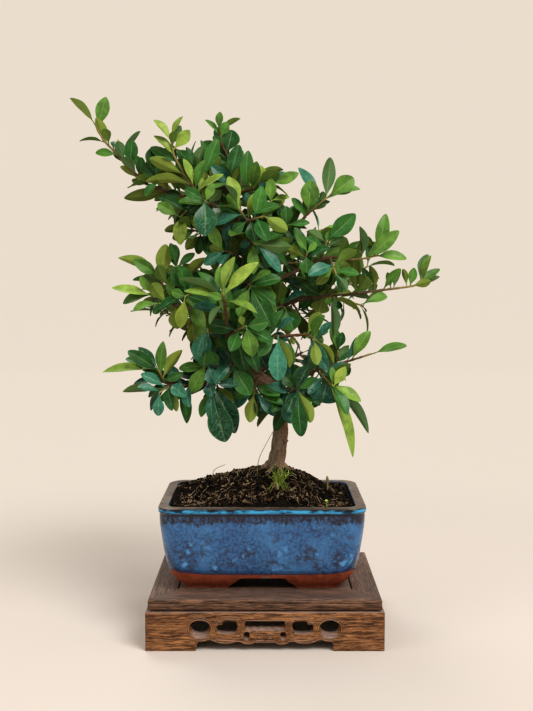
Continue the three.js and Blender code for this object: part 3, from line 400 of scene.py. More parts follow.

# %% [markdown]
# ## The leaf finish
# A firethorn's leaf is leathery. Old blades are deep bluish green and shine, with pale specks, and
# pale patches of painted sheen lie over them, brightest beside the midrib. Young ones are yellow
# green and soft, and the underside is dull olive. One finish serves all of them: each leaf carries
# its own colour, and marks say how far across and along the blade a point is and on which side, so
# veins and edges follow every leaf. Leaves deep in the crown are darkened with painted shade.

# %% Leaf finish
leaf = Finish("leaf_blade", Specular_IOR_Level=0.08, Coat_Roughness=0.3)
tone = leaf.mark("tone")
age = leaf.mark("tone", "Alpha")
blade = leaf.mark("blade", "Vector")
exposed = leaf.mark("exposed", "Vector").part(0)
across, along, under = blade.part(0), blade.part(1), blade.part(2)
side = abs(across)
spot = leaf.place()
midrib = (1 - side.step(0.03, 0.085)) * (1 - along * 0.5)
wander = leaf.noise(spot, 180, 2, 0.5)
VEIN_PAIRS, VEIN_SLANT = 8.5, 2.4
veins = (along * VEIN_PAIRS - side * VEIN_SLANT + wander * 0.9).math("PINGPONG", 0.5)
veins = veins.step(0.36, 0.5) * side.step(0.05, 0.2) * (1 - side.step(0.5, 0.92))
edge = side.step(0.9, 1.0)
patches = leaf.noise(spot, 120, 4, 0.6).step(0.38, 0.66)
painted_sheen = leaf.noise(spot, 260, 5, 0.72, 0.8).step(0.46, 0.72)
specks = 1 - leaf.cells(spot, 640).step(0.05, 0.22)
specks = specks * leaf.noise(spot, 240, 2, 0.5).step(0.42, 0.6)
upper = leaf.mix(patches * 0.7, tone, leaf.mix(0.55, tone, colour(8, 26, 14)))
# Painted sheen: pale patches on old blades, brighter still beside the midrib.
upper = leaf.mix(painted_sheen * age * 0.40, upper, colour(92, 148, 132))
upper = leaf.mix((1 - side.step(0.0, 0.5)) * painted_sheen * age * 0.25, upper, colour(146, 184, 168))
upper = leaf.mix(specks * age * 0.45, upper, colour(176, 200, 190))
upper = leaf.mix(veins * 0.10, upper, colour(128, 164, 104))
upper = leaf.mix(midrib * 0.42, upper, colour(146, 172, 108))
upper = leaf.mix(edge * 0.25, upper, colour(128, 152, 78))
lower = leaf.mix(patches * 0.3, leaf.mix(0.5, tone, colour(112, 130, 66)), colour(80, 98, 46))
lower = leaf.mix(veins * 0.20, lower, colour(84, 102, 44))
lower = leaf.mix(midrib * 0.55, lower, colour(156, 160, 98))
# Painted shade: leaves deep in the crown, with little `exposed`, darken on both sides and lose
# coat.
lower = leaf.mix((1 - exposed) * 0.8, lower, colour(11, 20, 4))
upper = leaf.mix((1 - exposed) * 0.55, upper, colour(5, 12, 2))
gloss = (0.34 + patches * 0.14 + specks * age * 0.15) * (1 - under) + under * 0.6
relief = leaf.noise(spot, 420, 4, 0.6) * 0.6 - midrib * 0.7 - veins * 0.14
LEAF = leaf.surface(
    Base_Color=leaf.mix(under, upper, lower), Roughness=gloss,
    Coat_Weight=exposed * (0.06 + age * 0.22) * (1 - under), Normal=leaf.bump(relief, 0.00025, 0.7))
print(LEAF.name, len(leaf.tree.nodes), "nodes")

# %% [markdown]
# ## Bark
# Old wood is grey brown and split lengthwise, the twigs are red brown, and the newest shoots are
# almost green. The fissures run with the limb because the noise is read in the limb's own round
# and long directions, stretched along its length.

# %% Bark finish
bark = Finish("bark", Specular_IOR_Level=0.15)
wood_tone = bark.mark("tone")
old = bark.mark("tone", "Alpha")
grain = bark.mark("grain", "Vector")
lengthwise = grain.stretch(1, 1, 0.22)
fissures = bark.noise(lengthwise, 0.9, 5, 0.62, 0.6)
plates = bark.noise(grain.stretch(1, 1, 0.45), 0.34, 3, 0.6)
lichen = bark.noise(grain, 0.8, 4, 0.7)
split = 1 - fissures.step(0.36, 0.5)
skin = bark.mix(plates.step(0.35, 0.7) * old * 0.6, wood_tone, colour(132, 116, 98))
skin = bark.mix(lichen.step(0.54, 0.68) * old * 0.6, skin, colour(168, 156, 136))
skin = bark.mix(plates.step(0.62, 0.8) * old * 0.5, skin, colour(128, 82, 52))
# Fissures darken: partly the inner bark's colour, partly painted shade in the cracks.
skin = bark.mix(split * (0.2 + old * 0.4), skin, colour(38, 29, 23))
BARK = bark.surface(
    Base_Color=skin, Roughness=0.72 + split * 0.2,
    Normal=bark.bump(fissures + lichen * 0.3, 0.0011, 0.8))
print(BARK.name, len(bark.tree.nodes), "nodes")

# %% [markdown]
# ## Branches as a table
# Every limb starts with its name and how many leaves the rule adds to it. Each line with bars is
# a tube of its wood: first and last radius, then the points it runs through as x, z and depth y.
# The other lines are its outline leaves: x and z of root and of tip as they look from the front,
# width, and two letters. They say which side of the leaf shows, u or l, and its tone: y young,
# g mid green, d dark, t bluish with painted sheen, o olive, v large and veined.

# %% Branches
BRANCH_TABLE = """
branch_top_left 4
2.7 1.7 | -26 372 2 | -48 380 -8 | -72 388 -12 | -90 392 -14 | -105 398 -16
1.7 1 | -105 398 -16 | -122 413 -20 | -134 427 -22 | -144 437 -24 | -151 451 -26
1.4 1 | -84 390 -13 | -97 404 -30
1.4 1 | -60 384 -10 | -76 369 -28
-151 450 -173 474 6 ly, -146 447 -141 475 12 ug, -140 435 -150 457 9 lo, -131 424 -151 426 7 ug
-128 424 -131 438 5 uy, -127 421 -111 445 4 lt, -118 413 -118 437 12 ud, -112 405 -110 422 9 ud
-112 405 -129 414 6 lo, -105 398 -119 402 6 lo, -97 403 -97 432 19 ud, -86 391 -126 386 11 lo
-84 391 -101 395 7 ut, -80 390 -99 384 6 lo, -73 387 -88 391 8 ud, -92 397 -90 413 5 lt
-94 399 -108 413 9 ud, -77 370 -96 381 11 ug, -64 380 -79 362 11 ud, -70 375 -87 377 8 lo
branch_yellow_shoot 2
2.2 1.5 | -26 364 3 | -40 372 -12 | -50 380 -24 | -55 384 -28
1.5 1 | -55 384 -28 | -63 395 -31 | -73 409 -34 | -81 423 -36 | -84 438 -38
1.4 1.1 | -48 378 -21 | -54 384 -50
-84 436 -99 455 6 uy, -83 438 -73 458 4 uy, -83 436 -75 450 8 lt, -80 428 -67 446 11 uy
-81 424 -99 441 6 uy, -64 397 -73 421 6 uy, -60 392 -37 407 5 uy, -58 390 -56 404 6 uy
-71 407 -103 421 11 lo, -66 398 -106 401 8 lo, -54 384 -54 352 20 uv, -52 384 -46 399 8 ug
-50 382 -39 393 9 lt, -54 384 -72 394 10 ud, -54 384 -68 374 10 ud
branch_high_left 2
1.9 1 | -30 392 0 | -44 399 -10 | -56 404 -16 | -65 410 -18
-56 404 -42 438 12 ud, -64 410 -55 432 9 lt, -59 406 -62 423 6 lt, -48 402 -57 437 7 ud
-50 403 -40 422 8 lo, -45 401 -47 418 8 ud, -63 409 -70 431 7 ud
branch_top 1
1.9 1 | -29 406 0 | -32 420 -4 | -39 434 -8 | -41 446 -9
-41 441 -53 455 4 ug, -41 445 -40 462 7 ug, -40 441 -34 453 9 ug, -40 442 -22 456 4 lg
-34 424 -29 446 17 ud, -38 431 -46 441 7 ud, -31 415 -48 424 8 ud
branch_high_right 3
2.1 1.3 | -29 384 1 | -24 390 -10 | -16 393 -18 | -12 394 -20
1.3 1 | -25 389 -8 | -32 405 -24
1.3 1 | -12 394 -20 | 8 399 -20
-31 404 -23 433 13 ud, -17 393 -15 428 12 ud, -22 391 -20 428 9 lt, -12 394 14 413 11 lo
6 399 30 408 10 ug, -3 396 -4 415 5 uy, 4 398 12 409 7 lt
branch_front_upper 3
2.3 1.5 | -17.5 333 5 | -15 345 -12 | -15 357 -28 | -16 366 -38
1.4 1 | -16 366 -38 | -1 370 -46
1.4 1 | -16 366 -38 | -24 378 -43
1.4 1 | -15 349 -17 | -8 345 -42
1.3 1 | -15 356 -27 | -4 366 -24 | 3 378 -26 | 6 384 -27
-1 370 20 357 12 lo, -14 367 -9 347 13 ud, -16 366 -29 356 9 ud, -23 377 -33 405 11 uy
-24 376 -36 398 5 lt, -19 370 13 379 8 ud, -8 345 23 343 12 lt, -9 345 14 320 9 ut
-10 346 20 326 7 ud, -12 347 -23 343 7 ut, -8 345 -5 336 6 ud, -14 350 -40 358 5 lo
4 381 5 404 10 ug, 1 375 -4 401 8 ut, 5 382 22 387 5 uy
branch_mid_left 4
2.2 1.1 | -20 352 4 | -42 352 -10 | -57 356 -18 | -67 358 -21
-66 358 -90 357 7 lo, -63 357 -83 350 11 ug, -57 356 -60 336 9 ud, -59 356 -71 340 9 lo
-47 353 -45 322 12 lo, -42 352 -37 328 9 ud, -52 354 -60 366 8 ud, -40 352 -50 366 8 ud
branch_left 4
3 1.6 | -23 303 4 | -50 300 -8 | -73 303 -16 | -92 308 -20
1.5 1 | -92 308 -20 | -96 319 -27
1.5 1 | -86 306 -19 | -102 299 -30
1.3 1 | -74 303 -16 | -80 326 -25
1.3 1 | -66 302 -13 | -72 298 -31
-96 319 -132 333 9 ly, -96 318 -118 331 11 ug, -95 317 -89 345 14 lo, -96 317 -114 325 7 ud
-95 314 -119 313 5 lt, -80 325 -85 346 8 ud, -79 325 -63 337 7 ud, -79 319 -91 325 8 lo
-78 316 -67 327 9 lo, -76 311 -53 333 8 lo, -102 299 -138 306 7 uy, -101 299 -128 292 8 ug
-98 301 -103 309 9 ud, -100 300 -112 288 5 lo, -71 299 -96 285 7 ud, -70 300 -62 315 8 ud
-71 299 -84 303 9 ug, -68 300 -60 287 9 ug, -84 306 -84 318 8 ud
branch_left_low 3
2.6 1.4 | -32 271 0 | -50 279 -14 | -66 286 -22 | -84 291 -26 | -93 292 -28
1.3 1 | -62 284 -20 | -70 270 -32
-92 292 -119 285 6 ug, -92 291 -101 283 7 ud, -80 289 -79 269 15 lo, -63 283 -67 268 13 lo
-56 282 -52 296 9 ud
branch_front_rosette 2
2.4 1.5 | -33 249 -2 | -33 262 -24 | -35 279 -48 | -37 296 -66
1.3 1 | -33 263 -26 | -17 272 -52
1.3 1 | -37 296 -66 | -38 301 -71
-38 301 -27 334 8 uy, -37 300 -6 329 10 uy, -38 301 -77 314 6 lt, -38 300 -73 303 6 uy
-37 297 -51 301 7 ug, -37 298 -7 283 5 uy, -37 296 -50 273 5 lt, -38 300 -60 320 8 ud
-17 272 -11 244 14 ug, -17 272 3 275 12 ud, -19 272 -22 281 6 uy, -25 269 -50 273 13 ud
-25 268 -18 231 17 ud, -20 270 -6 230 12 ud, -37 295 -22 290 6 ug
branch_front_right 3
2 1.1 | -21 314 4 | -16 312 -16 | -14 309 -34 | -13 307 -44
-14 309 10 297 10 ug, -13 307 6 271 18 ud, -15 310 -30 316 8 ud, -14 309 -6 322 7 ud
-15 311 8 312 8 ud
branch_centre 2
2 1.1 | -17 327 5 | -22 332 -12 | -30 337 -25 | -37 339 -34
-30 337 -27 305 12 ud, -37 339 -55 327 10 ut, -33 338 -41 357 9 ud, -23 333 -10 314 11 ud
-25 334 -13 346 9 ut, -36 338 -50 343 8 lo
branch_right_low 2
2.4 1.4 | -32 258 -1 | -14 258 -16 | 1 261 -22 | 23 263 -26 | 38 264 -30
1.3 1 | 5 262 -23 | 12 263 -42
1.3 1 | 38 264 -30 | 46 259 -38
12 263 12 222 16 ut, 10 264 22 234 9 lo, 8 263 -3 250 6 lo, 38 264 50 284 12 lo, 42 262 57 267 6 ug
42 262 53 258 9 lt, 40 263 57 230 12 ut, 44 260 47 236 10 lo, 45 260 62 238 6 lo, 24 263 26 255 6 lo
5 262 4 275 10 ud
branch_right_long 3
3 1.7 | -29 281 2 | -8 285 -2 | 14 290 -4 | 32 296 -8 | 64 300 -13 | 82 301 -16
1.6 1 | 82 301 -16 | 98 303 -18 | 114 305 -20 | 130 307 -22 | 142 310 -24
1.3 1 | 12 290 -4 | 18 288 -22
1.3 1 | 50 298 -11 | 60 297 -27
81 301 79 341 12 lo, 99 303 94 326 7 lo, 93 302 87 324 6 ud, 92 302 101 309 7 lt
113 305 110 320 6 lo, 115 305 122 321 5 lt, 128 307 124 323 5 lo, 130 307 134 324 8 ug
140 309 146 336 9 lt, 142 310 149 335 6 uy, 142 310 157 323 7 ug, 141 310 157 316 6 lt
132 307 149 312 8 lo, 74 300 94 297 6 lt, 52 298 48 283 17 lo, 46 298 33 286 6 ud
59 297 62 262 8 lt, 58 297 86 284 4 lo, 52 298 32 311 12 ud, 32 296 22 318 8 ut, 18 288 26 268 19 ud
17 288 8 270 12 ud, 14 290 18 298 7 ug
branch_right 3
3 1.7 | -19 322 5 | -2 312 -6 | 14 314 -13 | 35 325 -20 | 59 334 -26
1.6 1 | 59 334 -26 | 74 331 -28 | 88 332 -30 | 101 335 -32
1.4 1 | 50 331 -23 | 56 349 -28
1.3 1 | 33 324 -20 | 38 338 -36
1.3 1 | 58 333 -26 | 64 318 -41
100 335 108 372 12 ug, 91 333 120 357 13 ug, 66 333 100 346 9 lo, 86 332 85 361 7 lt
100 335 127 332 8 ug, 100 335 107 343 6 uy, 56 349 81 372 16 ud, 56 345 61 357 9 ug
55 347 39 357 10 lt, 55 345 72 351 7 lt, 53 339 36 351 7 ud, 54 343 47 357 9 ud, 38 338 28 354 7 ug
38 336 46 347 6 ug, 37 333 17 342 8 lo, 37 334 38 319 13 ud, 36 331 58 342 7 ud, 64 319 69 302 6 ud
64 318 74 303 6 lt, 60 329 77 325 8 lo, 62 325 50 317 9 ug, 63 322 85 318 7 ud, 63 321 46 309 9 lo
branch_upper_right 3
2.4 1.5 | -18 341 4.5 | 2 351 2 | 20 358 0 | 32 365 -4 | 37 371 -7
1.4 1 | 37 371 -7 | 56 387 -14
1.3 1 | 14 356 1 | 20 362 -17
38 372 41 402 17 ug, 35 369 24 386 7 ud, 48 380 30 413 9 ut, 55 386 58 422 12 lt
56 387 79 404 17 ug, 56 386 85 394 7 ug, 42 375 58 383 5 ud, 50 381 52 392 6 lt, 20 362 40 364 6 ud
17 360 33 355 8 ug, 19 362 19 379 11 ud, 17 360 8 377 10 ud, 18 361 26 350 8 ud
branch_low_right 2
2.5 1.4 | 13 207 1 | 30 222 -3 | 46 232 -8 | 60 236 -11 | 76 240 -14
1.4 1 | 76 240 -14 | 98 247 -20
1.3 1 | 64 237 -12 | 66 250 -20
1.4 1 | 46 232 -8 | 62 217 -38
79 240 95 267 11 ug, 98 247 128 254 7 ug, 66 248 58 273 8 ug, 66 249 70 266 8 ud, 66 245 76 254 6 lt
67 238 76 227 12 ud, 62 218 73 235 10 uy, 61 219 60 235 6 ug, 62 217 87 203 9 uy, 62 217 94 174 8 lt
61 218 80 152 9 uy, 57 223 52 202 28 ut, 50 231 40 245 8 ud
branch_bottom_right 1
2.6 1.2 | 14 200 2 | 22 209 -16 | 28 214 -30 | 30 214 -43
25 213 -5 194 10 ut, 29 214 22 183 20 ut, 30 214 33 171 14 ud, 29 214 42 184 11 lo
28 214 17 227 12 ud, 29 214 33 235 12 ud, 27 213 12 227 5 uy, 22 209 9 176 12 ud, 21 208 -7 180 5 ld
29 214 45 225 8 ud
branch_bottom_left 2
2.8 1.5 | -19 232 -4 | -44 222 -16 | -72 217 -24 | -91 220 -28
1.5 1 | -91 220 -28 | -97 233 -34
1.3 1 | -85 219 -27 | -96 211 -39
1.4 1 | -42 225 -13 | -48 213 -36
1.3 1 | -52 221 -17 | -52 236 -30 | -52 254 -38 | -52 270 -44
-97 232 -147 230 7 uy, -97 233 -124 249 12 ud, -96 230 -126 242 9 ud, -97 233 -92 258 10 ug
-94 224 -75 250 9 lo, -92 221 -74 229 8 ud, -95 226 -119 219 5 ut, -92 215 -129 212 7 lt
-87 218 -83 203 23 ud, -96 211 -97 190 10 ut, -91 216 -80 194 8 lo, -80 217 -71 183 10 ud
-48 213 -36 166 22 uv, -46 216 -27 174 20 uv, -45 218 -28 202 10 lo, -52 270 -62 240 10 ut
-52 269 -54 247 9 ut, -52 258 -56 235 14 ud, -52 252 -43 236 9 ud, -52 238 -67 211 13 ug
-52 236 -46 219 13 ut, -54 234 -78 233 9 ug
branch_crook_front 1
1.9 1.1 | -27 239 -4 | -30 239 -20 | -31 237 -31
-31 237 -13 209 17 ud, -31 237 -40 222 8 ug, -30 238 -22 250 8 ud
branch_crook_low 1
1.8 1.1 | -7 225 -4 | -9 217 -17 | -10 211 -26
-10 211 -14 184 12 lo, -9 214 8 213 8 lo, -10 212 -30 208 9 ud
branch_back_left 22
3 1.6 | -33 266 0 | -45 271 30 | -60 276 58 | -70 284 80
1.4 1 | -52 273 42 | -98 286 52
1.4 1 | -60 276 58 | -44 248 86
1.4 1 | -70 284 80 | -96 302 100
1.4 1 | -66 280 70 | -56 296 86 | -52 312 96
branch_back_right 22
3 1.6 | -18 327 5 | 0 328 30 | 18 332 58 | 28 340 80
1.4 1 | 8 328 42 | 58 328 60
1.4 1 | 18 332 58 | 50 358 76
1.4 1 | 28 340 80 | 12 366 104
1.4 1 | 24 336 70 | 52 322 102
branch_back_top 18
2.6 1.4 | -20 355 4 | -32 366 26 | -46 378 46 | -58 390 62
1.4 1 | -40 372 36 | -8 402 50
1.4 1 | -46 378 46 | -82 382 76
1.4 1 | -58 390 62 | -66 422 68
branch_back_far_right 19
2.8 1.5 | -29 287 2 | -8 291 24 | 22 297 44 | 50 301 58 | 70 306 66
1.4 1 | 22 297 44 | 36 274 78
1.4 1 | 50 301 58 | 88 290 44
1.4 1 | 70 306 66 | 92 326 84
branch_back_low 14
2.5 1.4 | -15 229 -4 | 4 236 24 | 22 241 46 | 34 248 62
1.4 1 | 4 236 24 | -16 220 62
1.4 1 | 22 241 46 | 62 234 54
"""

BRANCHES = {}
for line in BRANCH_TABLE.strip().splitlines():
    if line.startswith("branch"):
        name, more = line.split()
        branch = BRANCHES[name] = {"wood": [], "leaves": [], "fill": int(more)}
    elif "|" in line:
        ends, *points = [[float(word) for word in part.split()] for part in line.split("|")]
        branch["wood"].append([*ends, *points])
    else:
        for row in line.split(","):
            *numbers, kind = row.split()
            branch["leaves"].append([*map(float, numbers), kind])
outline_count = sum(len(branch["leaves"]) for branch in BRANCHES.values())
print(len(BRANCHES), "branches,", outline_count, "outline leaves")

# %% [markdown]
# ## Where each leaf stands
# A point read from the front is moved along the line of sight to its own depth. Places for
# leaves follow each other along the wood, and every leaf takes the free one nearest to its root.
# The CAD model tried several tips for each leaf until one was clear of its neighbours. The tip
# that it kept is a corner of its mesh, so a search in that mesh tells which try was used.

# %% Leaf places
SLIM, ROOT_SINK, SPACING, BARE_WOOD = 0.4, 0.15, 2.4, 9
FILL_LENGTHS, FILL_WIDTH, FILL_KINDS = (22, 34), 0.45, "dgotdgd"
SEED_STEP, FILL_SEED, GOLDEN_ANGLE = 100, 50, 137.5
UP = np.array([0.0, 0.0, 1.0])
TIP_STEPS = [0, -4, 4, -8, 8, -12, 12, -17, 17, -22]
SAME_POINT = 0.00005


def seen(x, z, y):
    """A point read from the front, moved along the line of sight to the depth y."""
    share = (y - EYE[1]) / -EYE[1]
    return (np.array([x, 0.0, z]) - EYE) * share + EYE


def leaf_places(tubes):
    """Places for leaves along the wood, with the limb's direction and radius at each."""
    places = []
    for t, (first, last, *points) in enumerate(tubes):
        points = [seen(*p) for p in points]
        radii = [first + (last - first) * i / (len(points) - 1) for i in range(len(points))]
        spans = [np.linalg.norm(b - a) for a, b in zip(points, points[1:])]
        total = sum(spans)
        count = math.floor(total / SPACING + 0.5)
        for i in range(count + 1):
            rest, span = (i / count) * total, 0
            while span < len(spans) - 1 and rest > spans[span]:
                rest -= spans[span]
                span += 1
            share = min(1, rest / spans[span])
            a, b = points[span], points[span + 1]
            if t > 0 or (i / count) * total > BARE_WOOD:
                places.append({"point": a + (b - a) * share, "tangent": unit(b - a),
                               "radius": radii[span + 1], "taken": False})
    return places


def take(places, cost):
    """The free place of least cost, which is then taken."""
    free = [(cost(p, i), i) for i, p in enumerate(places) if not p["taken"]]
    chosen = places[min(free)[1]]
    chosen["taken"] = True
    return chosen


def near(x, z):
    """The cost of a place: how far it looks from a leaf's root, seen from the front."""
    def cost(p, _):
        flat = (p["point"] - EYE) / ((p["point"][1] - EYE[1]) / -EYE[1]) + EYE
        return math.hypot(flat[0] - x, flat[2] - z)
    return cost


def outline_leaf(station, row, seed, attempt):
    """A leaf of the table. The narrower it looks for its length, the more it is turned edge on."""
    rx, rz, tx, tz, seen_width, kind = row
    flat = math.hypot(tx - rx, tz - rz)
    lean = (draw(seed, 1) - 0.65) * 0.3 * flat
    root = station["point"]
    tip = seen(tx, tz, root[1] + lean + TIP_STEPS[attempt])
    run = unit(tip - root)
    width = max(seen_width, min(flat * SLIM, 12))
    turn = math.acos(min(1, seen_width / width)) * 0.92
    sight = unit(EYE - root)
    facing = unit(sight - run * sight.dot(run))
    beside = np.cross(run, facing)
    if beside[2] < 0:
        beside = -beside
    sign = 1 if kind[0] == "u" else -1
    normal = facing * math.cos(turn) * sign + beside * math.sin(turn)
    return root - run * station["radius"] * ROOT_SINK, tip, normal, width


def away_from(tangent, angle):
    """A direction square to a limb, turned round it by an angle."""
    side = unit(np.cross(UP, tangent))
    return (side * math.cos(angle) + np.cross(tangent, side) * math.sin(angle)
            + tangent * tangent.dot(side) * (1 - math.cos(angle)))


def rule_leaf(station, number, seed, attempt):
    """A leaf of the rule: splayed from the limb, each a golden angle on from the last."""
    tangent = station["tangent"]
    turn = math.radians(GOLDEN_ANGLE * (number + attempt * 3) + 360 * draw(seed, 2))
    splay = math.radians(38 + 34 * draw(seed, 3, attempt))
    run = tangent * math.cos(splay) + away_from(tangent, turn) * math.sin(splay)
    run = unit(run + UP * 0.12)
    shortest, longest = FILL_LENGTHS
    length = (shortest + (longest - shortest) * draw(seed, 4)) * (1 - 0.03 * attempt)
    root = station["point"] - run * station["radius"] * ROOT_SINK
    return root, root + run * length, tangent * 0.7 + UP * 0.8, length * FILL_WIDTH


def kept_try(search, make):
    """The try whose tip is a corner of the CAD mesh, or None where the leaf was left out."""
    for attempt in range(len(TIP_STEPS)):
        placed = make(attempt)
        if search.find(Vector(placed[1] * MM + HOME))[2] < SAME_POINT:
            return placed
    return None


leaves = {name: [] for name in BRANCHES}
stations = {name: leaf_places(branch["wood"]) for name, branch in BRANCHES.items()}
searches = {name: tree_of(v.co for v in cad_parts[name].data.vertices) for name in BRANCHES}
for b, (name, branch) in enumerate(BRANCHES.items()):
    for i, row in enumerate(branch["leaves"]):
        station, seed = take(stations[name], near(row[0], row[1])), b * SEED_STEP + i
        placed = kept_try(searches[name], lambda a: outline_leaf(station, row, seed, a))
        if placed:
            leaves[name].append((*placed, row[5][1], seed))
for b, (name, branch) in enumerate(BRANCHES.items()):
    for i in range(branch["fill"]):
        wanted = (i + 0.5) / branch["fill"] * len(stations[name])
        station = take(stations[name], lambda _, index: abs(index - wanted))
        seed = b * SEED_STEP + FILL_SEED + i
        placed = kept_try(searches[name], lambda a: rule_leaf(station, i, seed, a))
        if placed:
            kind = FILL_KINDS[int(draw(seed, 9) * len(FILL_KINDS))]
            leaves[name].append((*placed, kind, seed))
print(sum(map(len, leaves.values())), "leaves found")

# %% [markdown]
# ## Leaves that close the crown
# Firethorn carries more leaves on short spurs, close to the older wood. They are smaller and
# darker, and they close the gaps through which the limbs would show. A place may carry several
# of these, so each number below gives a place on the wood, counted from its start, times 40, plus
# which of 40 draws sets the leaf's direction and size. The trunk's own spurs are counted from
# its top.

# %% Spur leaves
SPUR_TABLE = """
branch_back_far_right 34 58 122 176 237 267 290 320 387 403 469 513 544 617 661 681 725 741 866 932
1097 1143 1171 1221 1253 1311 1436 1513 1567 1705 1753 1832 1860 1996 2130 2226 2343 2361 2387 2417
2596 2606 2663 2679 2722 2745 2821 2847 2911 2928 3011 3026 3063 3183 3191 3225 3299 3409 3441 3492
3687 3710 3732 3791 3823 3958 3981 4069 4084 4181
branch_back_left 28 58 64 86 181 203 278 307 406 437 479 497 590 616 719 804 931 1051 1113 1120 1216
1258 1282 1338 1394 1529 1566 1649 1677 1741 1777 1866 1914 1991 2014 2095 2149 2199 2211 2251 2305
2434 2526 2576 2579 2603 2664 2693 2696 2797 2829 2859 2978 3026 3063 3093 3125 3126 3386 3405 3465
3515 3581 3638 3692 3740 3794 3837 3858 3972 4048 4075 4094 4144 4214 4244 4311 4334 4417 4451 4497
4538 4626
branch_back_low 107 141 166 256 286 478 516 550 581 608 651 715 819 1022 1045 1223 1243 1300 1335
1408 1487 1528 1568 1635 1656 1721 1817 1818 1859 1889 1899 1929 2000 2045 2064 2088 2093 2187 2201
2349 2413 2462 2536 2570 2605 2669 2711 2757 2808 2838 2845 2856
branch_back_right 39 65 107 183 205 255 298 371 436 462 514 676 754 823 853 947 1110 1137 1408 1444
1492 1574 1712 1730 1766 1771 1865 1927 1956 2029 2039 2132 2181 2205 2258 2308 2325 2365 2552 2679
2714 2773 2786 2859 2892 2948 3035 3082 3172 3229 3327 3427 3457 3514 3563 3581 3686 3733 3775 3899
4123 4237 4249 4290 4420 4450 4545 4578 4660 4721 4776
branch_back_top 11 70 116 147 173 248 326 386 431 459 500 553 630 646 778 1059 1099 1166 1343 1375
1419 1480 1554 1577 1635 1757 1779 1814 1860 1903 1923 1993 2006 2042 2142 2161 2268 2298 2406 2494
2595 2719 2726 2729 2858 2884 2926 2949 2962 3035 3055 3142 3192 3197 3209 3356 3372 3432 3449 3525
3594
branch_bottom_left 64 119 173 337 348 580 652 727 900 971 1233 1391 1400 1412 1494 1543 1565 1676
1773 1785 1846 1956 2085 2192 2233 2243 2255 2501 3107
branch_bottom_right 38 54 274 337 446 503 732
branch_centre 270 314 595 609
branch_crook_front 15 37 124 232
branch_crook_low 71 96 235 249
branch_front_right 299 469 510 678 703 707
branch_front_rosette 97 785 845 1334 1389 1449 1546 1604 1873
branch_front_upper 95 190 783 911 929 1086 1194 1201 1438 1486 1488 1608 1624 1664 1774 2027 2227
branch_high_right 37 90 481 558 573 784 826 873 1119
branch_left 177 867 1370 1629 2030 2183 2294 2426 2468
branch_left_low 18 558 663 821 929 1104 1226
branch_low_right 34 415 516 1054 1792 2015 2144 2158 2212 2334 2486
branch_mid_left 369 406 549
branch_right 39 92 288 323 506 957 980 1157 1446 1451 1536 1909 2093 2933 3020 3066
branch_right_long 51 157 222 418 495 559 1010 1135 1244 2179 2989 3370
branch_right_low 35 83 266 514 709 991 1369 1668 1755
branch_top 56 84
branch_top_left 11 374 580 737 833 1331 1372 1502 1666 1703 1752 1981 2065 2496 2603 2764 2981 3148
3217 3284
branch_upper_right 142 341 517 568 1024 1659
branch_yellow_shoot 865 1034 1278 1286 1558 1814
trunk 48 96 120 212 315 358 360 490 546 560 697 734 774 846 994 1036 1081 1144 1183 1206 1252 1374
1414 1470 1571 1636 1810 1882 1946 2040 2166 2288 2452
"""
DRAWS, TRUNK_SPACING = 40, 3.0
SPUR_SEED, SPUR_LOT = 9000, 21
LOW_KINDS, HIGH_KINDS, LOW_CROWN = "tdtvdtvd", "dgtdgogogd", 262


def spur_leaf(point, tangent, radius, seed):
    """A small leaf close to old wood, which faces up and out."""
    r = [draw(seed, k, SPUR_LOT) for k in range(8)]
    splay = math.radians(36 + 50 * r[3])
    run = unit(tangent * math.cos(splay) + away_from(tangent, 2 * math.pi * r[2]) * math.sin(splay)
               + UP * 0.06)
    length = 14 + 15 * r[4]
    outward = unit(np.array([point[0] + 15, point[1], 0.0]))
    normal = np.array([r[6] - 0.5, r[7] - 0.8, 0.75]) + outward * 0.45
    return point - run * radius * 0.3, point + run * length, normal, length * (0.33 + 0.13 * r[5])


def along_line(line, distance):
    """The point, or point and radius, at a distance along a line."""
    reach = reaches(line)
    return np.array([np.interp(distance, reach, line[:, k]) for k in range(line.shape[1])])


TRUNK = np.array([
    [9, 80, 0, 6.5], [9, 120, 0, 8.6], [9.4, 144, 0, 8], [12, 158, 1, 7.4], [14.2, 178, 2, 6.9],
    [14.5, 195.5, 2, 6.3], [10, 213.6, 0, 6.4], [-2.8, 222.6, -3, 6.4], [-13.8, 229, -4, 6.2],
    [-27.5, 239, -4, 6], [-33, 252.5, -2, 5.6], [-33, 266, 0, 5.3], [-28.5, 284, 2, 5],
    [-23, 307, 4, 4.5], [-17.5, 329.5, 5, 4.1], [-19.3, 352, 4, 3.7], [-26.6, 373, 2, 3.2],
    [-30, 393, 0, 2.6], [-29, 410, 0, 2]])
stem_line = curve_through(np.array([seen(*row[:3]) for row in TRUNK]), 12)
stem_radii = np.interp(np.linspace(0, 1, len(stem_line)), np.linspace(0, 1, len(TRUNK)),
                       TRUNK[:, 3])
stem_length = np.sum(np.linalg.norm(np.diff(stem_line, axis=0), axis=1))
leaves["trunk"] = []
spurs = []
for word in SPUR_TABLE.split():
    if word.isdigit():
        spurs.append((name, int(word)))
    else:
        name = word
for name, code in spurs:
    index = code // DRAWS
    if name == "trunk":
        distance = stem_length - 2 - index * TRUNK_SPACING
        point = along_line(stem_line, distance)
        tangent = unit(along_line(stem_line, distance + 1) - point)
        radius = float(along_line(np.column_stack([stem_line, stem_radii]), distance)[3])
    else:
        station = stations[name][index]
        point, tangent, radius = station["point"], station["tangent"], station["radius"]
    seed = SPUR_SEED + code + 7 * sum(map(ord, name))
    kinds = LOW_KINDS if point[2] < LOW_CROWN else HIGH_KINDS
    kind = kinds[int(draw(seed, 8, SPUR_LOT) * len(kinds))]
    leaves[name].append((*spur_leaf(point, tangent, radius, seed), kind, seed))
print(len(spurs), "spur leaves")

